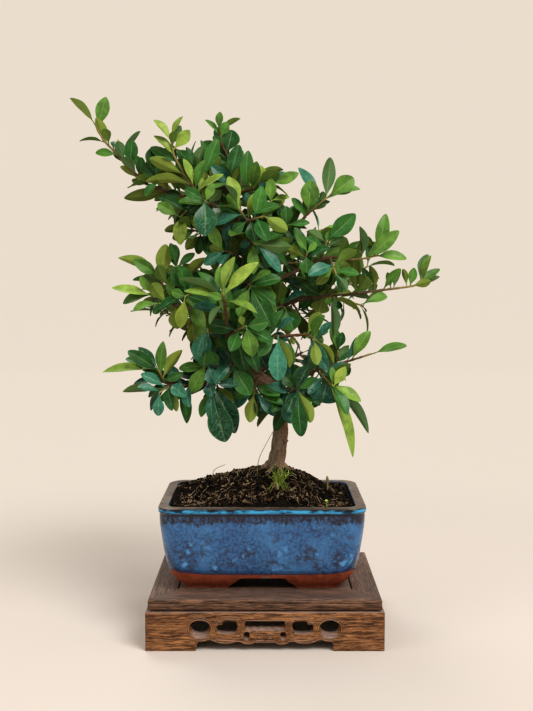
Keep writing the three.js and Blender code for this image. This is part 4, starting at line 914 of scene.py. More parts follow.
# %% [markdown]
# ## The shape of a blade
# A real blade is thin, folded a little along the midrib, arched from root to tip and wavy at its
# edge, and its outline is an ellipse drawn in towards a short stalk. The blade is a small net of
# points: rows along it and columns across it, once for the upper side and once for the lower, a
# third of a millimetre apart.

# %% Blade shape
ARCH = 0.07
ROWS = np.array([0, 0.045, 0.09, 0.14, 0.21, 0.30, 0.40, 0.50, 0.60, 0.70, 0.79, 0.87, 0.94,
                 0.985, 1])
COLUMNS = np.array([-1, -0.72, -0.36, -0.06, 0.06, 0.36, 0.72, 1])
LEAF_LOT = 77
TONES = {
    "y": [tint(122, 140, 62), tint(100, 128, 54), 0.0],
    "g": [tint(64, 100, 38), tint(92, 126, 54), 0.1],
    "d": [tint(24, 64, 24), tint(52, 94, 36), 0.35],
    "t": [tint(26, 78, 60), tint(48, 102, 84), 1.0],
    "o": [tint(92, 112, 42), tint(116, 132, 50), 0.05],
    "v": [tint(16, 50, 30), tint(28, 68, 40), 0.9],
}


def blade_outline(share, peak, blunt):
    """Half width from 0 to 1 along the blade, widest at the peak."""
    bent = np.clip(share, 0, 1) ** (math.log(0.5) / math.log(peak))
    return np.sin(math.pi * bent) ** (1.0 - (1.0 - blunt) * np.clip(share * 1.3 - 0.3, 0, 1))


def add_blade(form, root, tip, normal, width, kind, seed, shaded):
    """One fine leaf. `shaded` tells how much foliage stands before it, from 0 to 1, and darkens
    the leaf as painted shade.
    """
    r = [draw(seed, k, LEAF_LOT) for k in range(8)]
    length = np.linalg.norm(tip - root)
    run = (tip - root) / length
    up = unit(normal - run * normal.dot(run))
    beside = np.cross(run, up)
    # Half widths: the stalk, then the blade.
    stalk = min(0.1, 2.6 / length)
    half = width / 2 * blade_outline((ROWS - stalk) / (1 - stalk), 0.50 + 0.12 * r[0],
                                     (0.66 if kind == "y" else 0.50) + 0.2 * r[1])
    half = np.maximum(half, np.where(ROWS < stalk * 1.6, 0.42 + width * 0.012, 0.12))
    grow = np.clip((ROWS - stalk) / 0.2, 0, 1)
    fold = (0.14 + 0.16 * r[2]) * grow
    wave = 0.035 * width * grow * (1 - ROWS)
    # The upper side: arched along, folded across, wavy at the edge, with a groove for the midrib.
    u, s = np.meshgrid(COLUMNS, ROWS)
    spread = half[:, None] * u
    lift = (ARCH * (0.5 + r[7]) * length * 4 * s * (1 - s) + fold[:, None] * np.abs(spread) ** 1.15
            + wave[:, None] * np.sin(s * 15 + r[3] * 6.3 + (u > 0) * 2.1) * u ** 2
            - 0.16 * (np.abs(u) < 0.1) * grow[:, None])
    swing = 0.045 * (r[4] - 0.5) * length * np.sin(math.pi * s)
    middle = root + run * (s * length)[..., None]
    top = middle + beside * (spread + swing)[..., None] + up * lift[..., None]
    # The lower side, with a raised midrib, and the strip that joins both at the edge.
    thick = 0.28 + 0.75 * np.exp(-s / 0.07) + 0.22 * (np.abs(u) < 0.1) * (1 - s * 0.7)
    bottom = top - up * (thick * (1 - 0.55 * np.abs(u)))[..., None]
    rows, columns = len(ROWS), len(COLUMNS)
    count = rows * columns
    faces = grid_faces(rows, columns, wrap=False)
    faces += [face[::-1] for face in grid_faces(rows, columns, wrap=False, start=count)]
    for i in range(rows - 1):
        a, b = i * columns, i * columns + columns - 1
        faces.append([a, a + columns, a + columns + count, a + count])
        faces.append([b, b + count, b + columns + count, b + columns])
    for i in range(columns - 1):
        a, b = i, (rows - 1) * columns + i
        faces.append([a, a + count, a + 1 + count, a + 1])
        faces.append([b, b + 1, b + 1 + count, b + count])
    first, second, years = TONES[kind]
    shade = first * (1 - r[5]) + second * r[5]
    # Painted shade: the tone darkens with the foliage standing before the leaf.
    shade = shade * (0.85 + 0.35 * r[6]) * (1.40 - 1.32 * shaded)
    blade_marks = np.stack([u, s, np.zeros_like(s)], axis=-1).reshape(-1, 3)
    under_marks = blade_marks + [0, 0, 1]
    form.add(np.concatenate([top.reshape(-1, 3), bottom.reshape(-1, 3)]), faces,
             blade=np.concatenate([blade_marks, under_marks]), tone=[*shade, years],
             exposed=[1 - shaded, 0, 0])


TWIG_STEP, TWIG_SIDES = 1.6, 9
OLD_WOOD, TWIG, SHOOT = tint(78, 60, 42), tint(104, 76, 50), tint(152, 136, 78)
SKY, SHADE_RANGE, FULL_SHADE = unit(np.array([0.25, -0.75, 0.6])), 44, 5.2


def add_twig(form, first, last, points, seed):
    """One tube of a limb's wood. The thick ones flare where they leave the trunk."""
    path = resample([seen(*p) for p in points], TWIG_STEP, 3)
    share = np.linspace(0, 1, len(path))
    radii = first + (last - first) * share
    if first >= 1.8:
        radii = radii + 1.1 * np.exp(-share * len(path) * TWIG_STEP / 4)
    ripple = 1 + 0.10 * np.sin(np.arange(len(path)) * 1.5 + seed)
    radii = radii * ripple * (0.64 + 0.36 * np.clip(radii / 2.6, 0, 1))
    radii[-1] *= 0.45
    young = np.clip((1.75 - radii) / 0.75, 0, 1)[:, None] * share[:, None] ** 1.5
    shade = OLD_WOOD * (1 - young) + (SHOOT if first <= 1.7 else TWIG) * young
    tones = np.hstack([shade, np.clip(1 - young * 1.6, 0, 1) * 0.45])
    loft(form, tube_rings(path, radii, TWIG_SIDES, 0.22, seed),
         grain=grain_marks(path, radii, TWIG_SIDES) + [0, 0, seed * 7.0],
         tone=np.repeat(tones, TWIG_SIDES, axis=0))


middles = tree_of((root + tip) / 2 for row in leaves.values() for root, tip, *_ in row)


def crowding(middle):
    """How much other foliage stands between a leaf and the open sky in front, from 0 to 1."""
    total = 0
    for point, _, away in middles.find_range(Vector(middle), SHADE_RANGE):
        if away > 2:
            arm = np.array(point) - middle
            total += max(0, arm.dot(SKY) / away - 0.45) * (1 - away / 50)
    return min(1, total / FULL_SHADE)


blade_count = 0
for name, placed_leaves in leaves.items():
    foliage = Form()
    for placed in placed_leaves:
        add_blade(foliage, *placed, crowding((placed[0] + placed[1]) / 2))
    foliage.piece(name + "_leaves", LEAF, "foliage", [name] if name in BRANCHES else [], 50)
    blade_count += len(placed_leaves)
for b, (name, branch) in enumerate(BRANCHES.items()):
    limbs = Form()
    for t, (first, last, *points) in enumerate(branch["wood"]):
        add_twig(limbs, first, last, points, b * 10 + t)
    limbs.piece(name + "_wood", BARK, "bark", [name], sharp=60)
print(blade_count, "fine blades")

# %% [markdown]
# ## Trunk
# The trunk is carved by wind and pruning, so it is not a clean tube. Stem, roots and the broken
# stub are laid as tubes, melted into one skin by a voxel remesh, and then cut by fissures: every
# point is pushed in or out by noise that is read round and along the stem, stretched lengthwise.

# %% Trunk
ROOTS = [[-105, 15, 4.2], [-25, 17, 4.2], [55, 14, 3.8], [130, 15, 3.8], [200, 17, 3.4],
         [-65, 13, 3.0], [95, 12, 2.6], [-150, 13, 2.4], [12, 14, 2.8]]
STEM_FOOT, VOXEL, RELAXING, WIDE_CRACK, FINE_CRACK = 9, 0.8, 2, 0.13, 0.16
SOIL = {"edge": 117.2, "peak": 145.5, "centre": (6, 0), "left": 104, "right": 58, "deep": 57.5}


def soil_height(x, y):
    """Height of the smooth mound, as in the CAD model."""
    left = x < SOIL["centre"][0]
    away = np.hypot((x - SOIL["centre"][0]) / np.where(left, SOIL["left"], SOIL["right"]),
                    (y - SOIL["centre"][1]) / SOIL["deep"])
    rise = np.maximum(0, 1 - away ** np.where(left, 1.08, 1.35)) ** np.where(left, 0.87, 0.78)
    return SOIL["edge"] + (SOIL["peak"] - SOIL["edge"]) * rise


def remeshed(form, size, smooth):
    """One closed skin over all the shapes of a form, as points in millimetres and faces."""
    mesh = bpy.data.meshes.new("draft")
    mesh.from_pydata((np.concatenate(form.points) * MM).tolist(), [], form.faces)
    draft = link(bpy.data.objects.new("draft", mesh))
    remesh = draft.modifiers.new("skin", "REMESH")
    remesh.mode, remesh.voxel_size = "VOXEL", size * MM
    relax = draft.modifiers.new("relax", "SMOOTH")
    relax.factor, relax.iterations = 0.5, smooth
    ready = draft.evaluated_get(bpy.context.evaluated_depsgraph_get()).to_mesh()
    points = np.array([v.co for v in ready.vertices]) / MM
    normals = np.array([v.normal for v in ready.vertices])
    faces = [list(p.vertices) for p in ready.polygons]
    bpy.data.objects.remove(draft)
    bpy.data.meshes.remove(mesh)
    return points, normals, faces


# Stem, roots and stub
raw = Form()
loft(raw, tube_rings(stem_line, stem_radii, 28, 0.10, 4))
for number, (degrees, reach, radius) in enumerate(ROOTS):
    angle = math.radians(degrees)
    line = []
    for share, lift in ((0, 7), (0.22, 3.4), (0.5, 0.4), (0.8, -2.2), (1, -5)):
        bend = angle + 0.35 * (draw(number, 3) - 0.5) * share * 2
        out = 1 + (reach + 2) * share
        x, y = STEM_FOOT + math.cos(bend) * out, math.sin(bend) * out
        line.append([x, y, float(soil_height(x, y)) + lift])
    line = curve_through(line, 6)
    loft(raw, tube_rings(line, np.linspace(radius, radius * 0.38, len(line)), 14, 0.2, number))
knob = np.linspace(seen(12.5, 164.5, -1), seen(20.5, 168.2, -4), 7)
loft(raw, tube_rings(knob, [4.6, 4.4, 4.0, 3.5, 3.2, 3.0, 2.3], 14, 0.12, 9))
points, normals, faces = remeshed(raw, VOXEL, RELAXING)

# Fissures and colour, read round and along the stem
stem_tree, reach = tree_of(stem_line), reaches(stem_line)
PALE, BROWN, RUST = tint(142, 130, 114), tint(92, 76, 60), tint(136, 84, 50)
grain_rows, tone_rows, moved = [], [], []
for point, normal in zip(points, normals):
    _, index, away = stem_tree.find(Vector(point))
    arm = point - stem_line[index]
    nearby = np.gradient(stem_line[max(0, index - 1):index + 2], axis=0)
    s = reach[index] + arm.dot(unit(nearby[1 if index else 0]))
    years = min(1, max(0.25, 1.15 - reach[index] / 340))
    twist = s * 0.012
    flat = (arm[0] * math.cos(twist) - arm[1] * math.sin(twist),
            arm[0] * math.sin(twist) + arm[1] * math.cos(twist))
    ridge = abs(noise.noise(Vector((flat[0] * 0.34, flat[1] * 0.34, s * 0.045))))
    fine = abs(noise.noise(Vector((flat[0] * 0.85, flat[1] * 0.85, s * 0.12 + 40))))
    swell = noise.noise(Vector((flat[0] * 0.10, flat[1] * 0.10, s * 0.055 + 9)))
    depth = (-0.9 * max(0, 1 - ridge / WIDE_CRACK) - 0.4 * max(0, 1 - fine / FINE_CRACK)
             + 0.7 * swell) * years
    moved.append(point + normal * depth)
    grain_rows.append([flat[0], flat[1], s])
    rusty = noise.noise(Vector((flat[0] * 0.12 + 5, flat[1] * 0.12, s * 0.02)))
    rusty = max(0, rusty * 1.2 + arm[0] * 0.055 - 0.1)
    shade = BROWN + (PALE - BROWN) * (years - 0.1) * min(1, max(0.1, 0.6 + swell * 1.2))
    shade = shade + (RUST - shade) * min(1, rusty)
    tone_rows.append([*shade, years])
trunk = Form()
trunk.add(moved, faces, grain=grain_rows, tone=tone_rows)
trunk.piece("trunk_bark", BARK, "bark", ["trunk"], sharp=0)
print("trunk", len(points), "points")

# %% [markdown]
# ## Soil
# The soil stands in a mound round the trunk, high on the left and sunk below the rim on the
# right. Its skin is lumpy, with crumbs of bark and fired clay on it and fine pale roots over it.

# %% Soil
POT_CENTRE = (-2.4, 0.7)
SOIL_NET, SOIL_REACH, SOIL_CORNER = (10, 20), (78, 52), 8.5


def rounded_ring(hx, hy, radius, z, per_corner, per_side):
    """A rounded rectangle about the pot's centre, with so many points per corner and side."""
    corners = []
    for corner, (sx, sy) in enumerate([(1, 1), (-1, 1), (-1, -1), (1, -1)]):
        for i in range(per_corner):
            angle = (corner + i / (per_corner - 1)) * math.pi / 2
            corners.append([POT_CENTRE[0] + sx * (hx - radius) + radius * math.cos(angle),
                            POT_CENTRE[1] + sy * (hy - radius) + radius * math.sin(angle), z])
    ring = []
    for i, point in enumerate(corners):
        ring.append(point)
        if (i + 1) % per_corner == 0:
            after = corners[(i + 1) % len(corners)]
            ring += [[point[k] + (after[k] - point[k]) * (j + 1) / (per_side + 1) for k in range(3)]
                     for j in range(per_side)]
    return np.array(ring)


def ground(x, y):
    """Height of the lumpy soil."""
    x, y = np.atleast_1d(x), np.atleast_1d(y)
    lumps = [1.5 * noise.noise(Vector((a * 0.13, b * 0.13, 3)))
             + 0.9 * noise.noise(Vector((a * 0.33, b * 0.33, 8)))
             + 0.5 * noise.noise(Vector((a * 0.8, b * 0.8, 5))) for a, b in zip(x, y)]
    return soil_height(x, y) + np.array(lumps)


soil = Form()
rings = [rounded_ring(73.5, 47.4, SOIL_CORNER, 58.6, *SOIL_NET),
         rounded_ring(79.2, 53.1, SOIL_CORNER, 100, *SOIL_NET)]
for share in np.concatenate([[1], np.linspace(0.985, 0.02, 52)]):
    ring = rounded_ring(80.1 * share, 54.0 * share, SOIL_CORNER * share, 0, *SOIL_NET)
    ring[:, 2] = ground(ring[:, 0], ring[:, 1]) - (1.2 if share == 1 else 0)
    rings.append(ring)
loft(soil, rings, tone=[*tint(14, 12, 10), 0.0])

crumb = bmesh.new()
bmesh.ops.create_icosphere(crumb, subdivisions=1, radius=1)
ball = np.array([v.co for v in crumb.verts])
ball_faces = [[v.index for v in f.verts] for f in crumb.faces]
crumb.free()
CRUMB_COUNT, SLIVER_COUNT, FIBRE_COUNT = 1900, 1300, 420
CRUMB_LOT, SLIVER_LOT, FIBRE_LOT = 5, 12, 6
CRUMBS = [(tint(10, 8, 7), 12), (tint(34, 27, 21), 9), (tint(74, 57, 42), 2),
          (tint(104, 94, 76), 1)]
SLIVERS = [tint(20, 16, 13), tint(56, 43, 32), tint(98, 78, 58), tint(138, 118, 92)]
ROOT_DARK, ROOT_PALE = tint(60, 47, 35), tint(172, 154, 124)
kinds = [shade for shade, weight in CRUMBS for _ in range(weight)]


def on_soil(number, lot):
    """A point somewhere on the soil. Every third one lies on the steep front slope."""
    across, deep = draw(number, 1, lot) * 2 - 1, draw(number, 2, lot)
    away = -52.5 + 20 * deep if number % 3 == 1 else (deep * 2 - 1) * 51.5
    return POT_CENTRE[0] + across * 77.5, POT_CENTRE[1] + away


def over_soil(x, y, heading, count, step, bend, number, hop):
    """A line that wanders over the soil and stays inside the pot."""
    line = []
    for k in range(count):
        x, y = x + step * math.cos(heading), y + step * math.sin(heading)
        if abs(x - POT_CENTRE[0]) > SOIL_REACH[0] or abs(y - POT_CENTRE[1]) > SOIL_REACH[1]:
            break
        line.append([x, y, float(ground(x, y)[0]) + 0.2 + hop * draw(number, k, 4) ** 2])
        heading += (draw(number, k, 7) - 0.5) * bend
    return line


for i in range(CRUMB_COUNT):
    x, y = on_soil(i, CRUMB_LOT)
    size = 0.4 + 1.5 * draw(i, 3, CRUMB_LOT) ** 3
    squash = np.array([0.7 + 0.8 * draw(i, k, 9) for k in range(3)]) * size
    dents = np.array([noise.noise(Vector(v * 1.7) + Vector((i, 0, 0))) for v in ball])
    centre = [x, y, float(ground(x, y)[0]) + size * 0.3]
    soil.add(ball * (1 + 0.3 * dents)[:, None] * squash + centre, ball_faces,
             tone=[*kinds[int(draw(i, 4, CRUMB_LOT) * len(kinds))], 0.5])
for i in range(SLIVER_COUNT):
    r = [draw(i, k, SLIVER_LOT) for k in range(7)]
    line = over_soil(*on_soil(i, SLIVER_LOT), r[3] * 6.3, 4, 0.8 + 1.3 * r[4], 0.5, i, 1.6)
    if len(line) == 4:
        wide = 0.25 + 0.5 * r[6] ** 1.5
        rings = tube_rings(line, [wide * 0.5, wide, wide * 0.9, wide * 0.3], 4, 0.6, i)
        loft(soil, rings, tone=[*SLIVERS[min(3, int(r[5] ** 2.2 * 4.4))], 0.8])
for i in range(FIBRE_COUNT):
    r = [draw(i, k, FIBRE_LOT) for k in range(7)]
    x, y = on_soil(i, FIBRE_LOT)
    if i % 3 == 0:
        x, y = STEM_FOOT + (x - STEM_FOOT) * 0.45, y * 0.5
    line = over_soil(x, y, r[2] * 6.3, 5 + int(r[3] * 8), 2.1, 0.75, i, 1.5)
    if len(line) > 4:
        shade = ROOT_DARK + (ROOT_PALE - ROOT_DARK) * r[5] ** 2
        loft(soil, tube_rings(curve_through(line, 2), 0.1 + 0.24 * r[6] ** 1.5, 4, 0.3, i),
             tone=[*shade, 0.8])

earth = Finish("earth", Specular_IOR_Level=0.05)
earth_tone = earth.mark("tone")
loose = earth.mark("tone", "Alpha")
at = earth.place()
clods = earth.noise(at, 160, 5, 0.7)
grit = earth.cells(at, 900)
dark_patch = earth.noise(at, 60, 3, 0.6)
ground_shade = earth.mix(clods.step(0.4, 0.7) * 0.7, earth_tone, colour(36, 30, 24))
ground_shade = earth.mix((1 - grit.step(0.1, 0.25)) * 0.3, ground_shade, colour(90, 78, 60))
ground_shade = earth.mix(dark_patch.step(0.5, 0.7) * 0.6, ground_shade, colour(10, 9, 8))
SOIL_FINISH = earth.surface(
    Base_Color=earth.mix(loose, ground_shade, earth_tone), Roughness=0.8 + clods * 0.2,
    Normal=earth.bump(clods + grit * 0.4, 0.0016, 0.8))
soil.piece("soil_mound", SOIL_FINISH, "soil", ["soil"], sharp=0)
print("soil", soil.count, "points")

# %% [markdown]
# ## Grass and stray shoots
# A bright tuft grows in front of the trunk, a seedling by the right corner, and a few dry stalks
# lean over the soil. A blade of grass is a thin strip with a keel, rooted in the soil.

# %% Grass
def add_strip(form, line, width, thick, shade):
    """A thin blade that is widest a little before its middle and runs out to a point."""
    line = curve_through(line, 5)
    tangents = np.gradient(line, axis=0)
    rings = []
    for k, (point, tangent) in enumerate(zip(line, tangents)):
        tangent = unit(tangent)
        beside = unit(np.cross(tangent, [0.2, 0.1, 1.0]))
        up = np.cross(beside, tangent)
        share = k / (len(line) - 1)
        w = width / 2 * math.sin(math.pi * (0.32 + 0.64 * share)) ** 0.8
        rings.append([point + beside * w, point + up * thick * 0.2, point - beside * w,
                      point - up * thick])
    loft(form, rings, tone=shade)


GRASS_COUNT, GRASS_LOT = 96, 3
grass = Form()
tuft = (12, -34)
tuft_top = float(soil_height(*tuft))
GREEN, STRAW = tint(146, 176, 58), tint(168, 152, 98)
for i in range(GRASS_COUNT):
    r = [draw(i, k, GRASS_LOT) for k in range(9)]
    angle, lean = r[4] * 6.3, 0.1 + 1.1 * r[1]
    height = 6 + 16 * r[2] ** 1.5
    hangs = r[7] < 0.24
    start, twist = 2.4 * math.sqrt(r[3]), (r[8] - 0.5) * 4.6
    line = []
    for share in (0, 0.3, 0.6, 0.85, 1):
        out = start + height * (0.62 if hangs else lean * 0.6) * share ** 1.2
        turn = (4.2 + angle * 0.16 if hangs else angle) + twist * share
        x, y = tuft[0] + math.cos(turn) * out, tuft[1] + math.sin(turn) * out * 0.8
        rise = height * (share - (1.5 if hangs else 0.4 * lean) * share ** 2.2) - 1.4 * (1 - share)
        lowest = float(soil_height(x, y)) + 0.6 if share else -99
        line.append([x, y, max(tuft_top + 0.6 + rise, lowest)])
    shade = GREEN * (0.2 + 0.8 * r[5] ** 1.3) if i % 6 else STRAW
    add_strip(grass, line, 0.5 + 0.4 * r[6], 0.25, [*shade, 1])
peg = curve_through([[*tuft, tuft_top - 9], [*tuft, tuft_top - 4], [*tuft, tuft_top + 1.2]], 4)
loft(grass, tube_rings(peg, np.linspace(2.0, 2.6, len(peg)), 12, 0.3, 2),
     tone=[*tint(96, 92, 44), 1])

blades = Finish("grass_blade")
blade_tone = blades.mark("tone")
streak = blades.noise(blades.place().stretch(1, 1, 0.2), 900, 3, 0.6)
GRASS_FINISH = blades.surface(
    Base_Color=blades.mix(streak.step(0.35, 0.7) * 0.5, blade_tone, colour(108, 138, 40)),
    Roughness=0.45 + streak * 0.2, Normal=blades.bump(streak, 0.0002, 0.5))
grass.piece("grass_blades", GRASS_FINISH, "grass", ["grass_tuft"], sharp=40)

shoots = Form()
sprout = seen(56, 110.7, -50)
foot = [sprout[0], sprout[1], float(ground(sprout[0], sprout[1])[0]) - 1]
stem = curve_through([foot, (np.array(foot) + sprout) / 2 + [0.5, 0, 0], sprout], 6)
loft(shoots, tube_rings(stem, 0.4, 6), tone=[*tint(120, 140, 60), 1])
for dx, dy, dz in [(2.6, -0.8, 1.2), (-2.4, -1.2, 1.4), (0.3, 1.8, 1.8)]:
    tip = sprout + [dx, dy, dz]
    add_strip(shoots, [sprout, (sprout + tip) / 2 + [0, 0, 0.4], tip], 2.4, 0.4,
              [*tint(150, 180, 72), 1])
STALKS = [[(-47.5, 126, 2), (-46.8, 139.5, 2), (-36.4, 145.4, 0)],
          [(-7.1, 137, -14), (-5, 152, -16), (7, 175.5, -18)],
          [(57, 122, -20), (57, 128.8, -20), (56.6, 134.8, -20)]]
for k, line in enumerate(STALKS):
    line = curve_through([seen(*p) for p in line], 6)
    radii = np.linspace(0.4, 0.22, len(line))
    if k == 2:
        radii = np.interp(np.linspace(0, 1, len(line)), [0, 0.5, 0.8, 1], [0.6, 0.8, 1.4, 0.5])
    loft(shoots, tube_rings(line, radii, 7, 0.15, k), tone=[*tint(112, 84, 54), 1])
shoots.piece("stray_shoots", GRASS_FINISH, "grass", sharp=40)
print("grass", grass.count, "points, shoots", shoots.count)

# %% [markdown]
# ## Pot
# A moulded stoneware pot: a lipped rim, walls that lean in to four corner feet, and a recess
# beneath. The outside is one skin over rounded rectangles. The hollow, the recess, the arches
# between the feet and the two drain holes are then cut from it, as a potter's tools would.

# %% Pot shape
POT_HALF = (90, 63.875)
FOOT, UNDER, RIM = 43.75, 51.5, 118.5
POT_NET, DRAIN_RADIUS, DRAIN_SIDES = (12, 28), 7, 32


def pot_ring(inset, z, radius=None):
    """A ring round the pot, so far in from its widest outline."""
    radius = 16 - inset * 0.25 if radius is None else radius
    return rounded_ring(POT_HALF[0] - inset, POT_HALF[1] - inset, radius, z, *POT_NET)


def draft(mesh, weld=0.0):
    """An object for cutting, with points that meet welded and every face turned outward."""
    work = bmesh.new()
    work.from_mesh(mesh)
    if weld:
        bmesh.ops.remove_doubles(work, verts=work.verts[:], dist=weld)
    bmesh.ops.recalc_face_normals(work, faces=work.faces[:])
    work.to_mesh(mesh)
    work.free()
    return link(bpy.data.objects.new("draft", mesh))


def solid(rings, scale=MM, home=HOME):
    """A closed object over rings, in metres about the stand's centre unless told otherwise."""
    form = Form()
    loft(form, rings)
    mesh = bpy.data.meshes.new("draft")
    mesh.from_pydata((form.points[0] * scale + home).tolist(), [], form.faces)
    return draft(mesh)


def baked(thing):
    """A new mesh of a thing as it looks after its modifiers."""
    return bpy.data.meshes.new_from_object(
        thing.evaluated_get(bpy.context.evaluated_depsgraph_get()))


def cut(body, tools):
    """The body without the tools, which are deleted."""
    for tool in tools:
        modifier = body.modifiers.new("cut", "BOOLEAN")
        modifier.operation, modifier.solver, modifier.object = "DIFFERENCE", "EXACT", tool
    mesh = baked(body)
    body.modifiers.clear()
    body.data = mesh
    for tool in tools:
        bpy.data.objects.remove(tool)
    return body


wall = curve_through([[21.4, FOOT, 0], [20.2, 46, 0], [14.5, 51.5, 0], [9.6, 59.5, 0], [6.6, 69, 0],
                      [4.4, 80, 0], [1.6, 100, 0], [1.1, 108, 0], [1.1, 112.6, 0]], 5)
outside = [(21.9, FOOT)] + [(p[0], p[1]) for p in wall]
outside += [(0.75, 113.3), (0.2, 113.8), (0, 114.5), (0, 117.2), (0.3, 118), (1.0, 118.42),
            (1.8, RIM)]
pot = solid([pot_ring(inset, z) for inset, z in outside])
inside = [(16, 57), (13.2, 78), (10.5, 100), (9.6, 116.6), (9.2, 118), (8.5, 118.6), (8.5, 121)]
hollow = solid([pot_ring(inset, z, 9) for inset, z in inside])
recess = solid([pot_ring(33.4, z, 6) for z in (FOOT - 2, UNDER)])


def arch(low_width, high_width, depth, along_y):
    """The gap between two feet, as a rounded arch pushed right through, higher in the wall."""
    wide, narrow = low_width / 2, high_width / 2
    profile = [[wide + 0.6, FOOT - 2], [wide + 0.6, FOOT - 0.01], [wide - 0.8, FOOT + 1.2],
               [wide - 3.6, FOOT + 4.2], [narrow + 2.6, FOOT + 7.4], [narrow + 0.2, UNDER + 0.9],
               [narrow - 3.4, UNDER + 1.7]]
    profile += [[-a, z] for a, z in profile[::-1]]
    face = 46 if along_y else 70
    stops = [(-depth, 1.8), (-face, 1.8), (8 - face, 0), (face - 8, 0), (face, 1.8), (depth, 1.8)]
    return solid([[[POT_CENTRE[0] + (a if along_y else end),
                    POT_CENTRE[1] + (end if along_y else a),
                    z + lift * (z > UNDER)] for a, z in profile] for end, lift in stops])


def drain(x):
    """A round cutter for one drain hole."""
    return solid([[[POT_CENTRE[0] + x + DRAIN_RADIUS * math.cos(turn),
                    POT_CENTRE[1] + DRAIN_RADIUS * math.sin(turn), z]
                   for turn in full_turn(DRAIN_SIDES)] for z in (45, 65)])


pot = cut(pot, [hollow, recess, arch(60, 40, 90, True), arch(36, 24, 120, False),
                drain(-35), drain(35)])
pot.name = pot.data.name = "pot_shell"
edges = pot.modifiers.new("soft edges", "BEVEL")
edges.width, edges.segments = 0.7 * MM, 2
edges.limit_method, edges.angle_limit = "ANGLE", math.radians(42)
print("pot", len(pot.data.polygons), "faces before its edges are softened")

# %% [markdown]
# ## Glaze
# The glaze ran in the kiln. Where it is thin, over the lip and the corners, it breaks to grey
# brown, and on the corners that grey is also a painted highlight. Under the lip it hangs in a dark
# purple band with drips, and the wall is a mottled blue with small pinholes. It stops short of the
# feet, where the bare clay shows red brown.

# %% Glaze finish
def from_pot(at, axis):
    """Millimetres from the pot's middle along x or y."""
    return at.part(axis) * 1000 - (HOME[axis] * 1000 + POT_CENTRE[axis])


glaze = Finish("pot_glaze", Specular_IOR_Level=0.35, Coat_Roughness=0.08)
at = glaze.place()
z = at.part(2) * 1000
x, y = from_pot(at, 0), from_pot(at, 1)
wide, deep = abs(x), abs(y)
fine = glaze.noise(at, 420, 4, 0.7, 0.3)
mottle = glaze.noise(at, 95, 5, 0.66, 0.6)
cloud = glaze.noise(at, 30, 4, 0.6, 0.5)
run = glaze.noise(at.stretch(1, 1, 0.2), 120, 4, 0.65)
ripple = glaze.noise(at, 70, 4, output="Color").stretch(0.03, 0.03, 0.022)
warped = glaze.node("VectorMath", {"operation": "ADD"}, {0: at, 1: ripple})
crater = glaze.cells(warped, 72)
pits = 1 - glaze.cells(at, 330).step(0.06, 0.16)
chips = glaze.noise(at, 230, 3, 0.65).step(0.52, 0.62)
body = glaze.mix(fine.step(0.38, 0.62), colour(34, 60, 96), colour(54, 98, 144))
body = glaze.mix(cloud.step(0.38, 0.64) * 0.55, body, colour(70, 122, 170))
body = glaze.mix(mottle.step(0.54, 0.72) * (0.2 + fine * 0.5), body, colour(42, 52, 82))
low_zone = (1 - z.step(74, 100)) * 0.7 + 0.3
craters = glaze.noise(at, 24, 2, 0.5).step(0.42, 0.54) * low_zone
body = glaze.mix((1 - crater.step(0.1, 0.34)) * craters * 0.85, body, colour(88, 146, 196))
rings = crater.step(0.28, 0.42) * (1 - crater.step(0.5, 0.7)) * mottle.step(0.42, 0.64)
body = glaze.mix(rings * craters * 0.9, body, colour(42, 32, 40))
drip = glaze.noise(at.stretch(1, 1, 0.3), 360, 4, 0.7)
depth = 6 + cloud.step(0.3, 0.7) * 4 + (run - 0.5) * 16 + (drip - 0.5) * 9
band = (z + depth).step(111.5, 114.5) * (1 - (z + (mottle - 0.5) * 1.2).step(113.6, 114.2))
streak = (drip.step(0.5, 0.6) * 0.5 + fine.step(0.5, 0.62) * 0.25) * (1 - z.step(110, 113))
purple = glaze.mix(mottle, colour(14, 10, 13), colour(42, 30, 32))
body = glaze.mix(band * (0.95 - streak), body, purple)
lip = (z + (mottle - 0.5) * 0.8).step(113.9, 114.5)
flow = glaze.noise(at.stretch(0.4, 0.4, 1.6), 150, 4, 0.65)
lip_shade = glaze.mix(flow.step(0.40, 0.62), colour(60, 146, 188), colour(8, 48, 78))
body = glaze.mix(lip, body, lip_shade)
# Chips on the lip are wear; the dark line at its lower edge is painted shadow, with a dark top
# edge.
chips_and_lip_shadow = flow.step(0.51, 0.62) * 0.9 + (1 - z.step(114.4, 115.2)) * 0.8
chips_and_lip_shadow = (chips_and_lip_shadow + (z + (mottle - 0.5) * 2).step(117.0, 117.9)).math("MINIMUM", 1.0)
body = glaze.mix(chips_and_lip_shadow * lip * 0.95, body, colour(8, 12, 18))
rim_top = glaze.facing_up().step(0.5, 0.85) * z.step(116, 117.5)
rim_shade = glaze.mix(mottle.step(0.35, 0.65), colour(74, 62, 52), colour(112, 100, 88))
# Painted shadow: the middle of the rim's front is darkened.
front_rim_shadow = (1 - y.step(-62, -54)) * (1 - wide.step(66, 82))
rim_shade = glaze.mix(front_rim_shadow * 0.7, rim_shade, colour(50, 42, 37))
body = glaze.mix(rim_top, body, glaze.mix(chips * 0.6, rim_shade, colour(40, 38, 40)))
inside = (1 - (wide - 81.5).math("MAXIMUM", deep - 55.3).step(-0.2, 0.4)) * z.step(60, 64)
inner_blue = glaze.mix(fine, colour(16, 34, 58), colour(34, 76, 116))
body = glaze.mix(inside * (1 - rim_top), body, inner_blue)
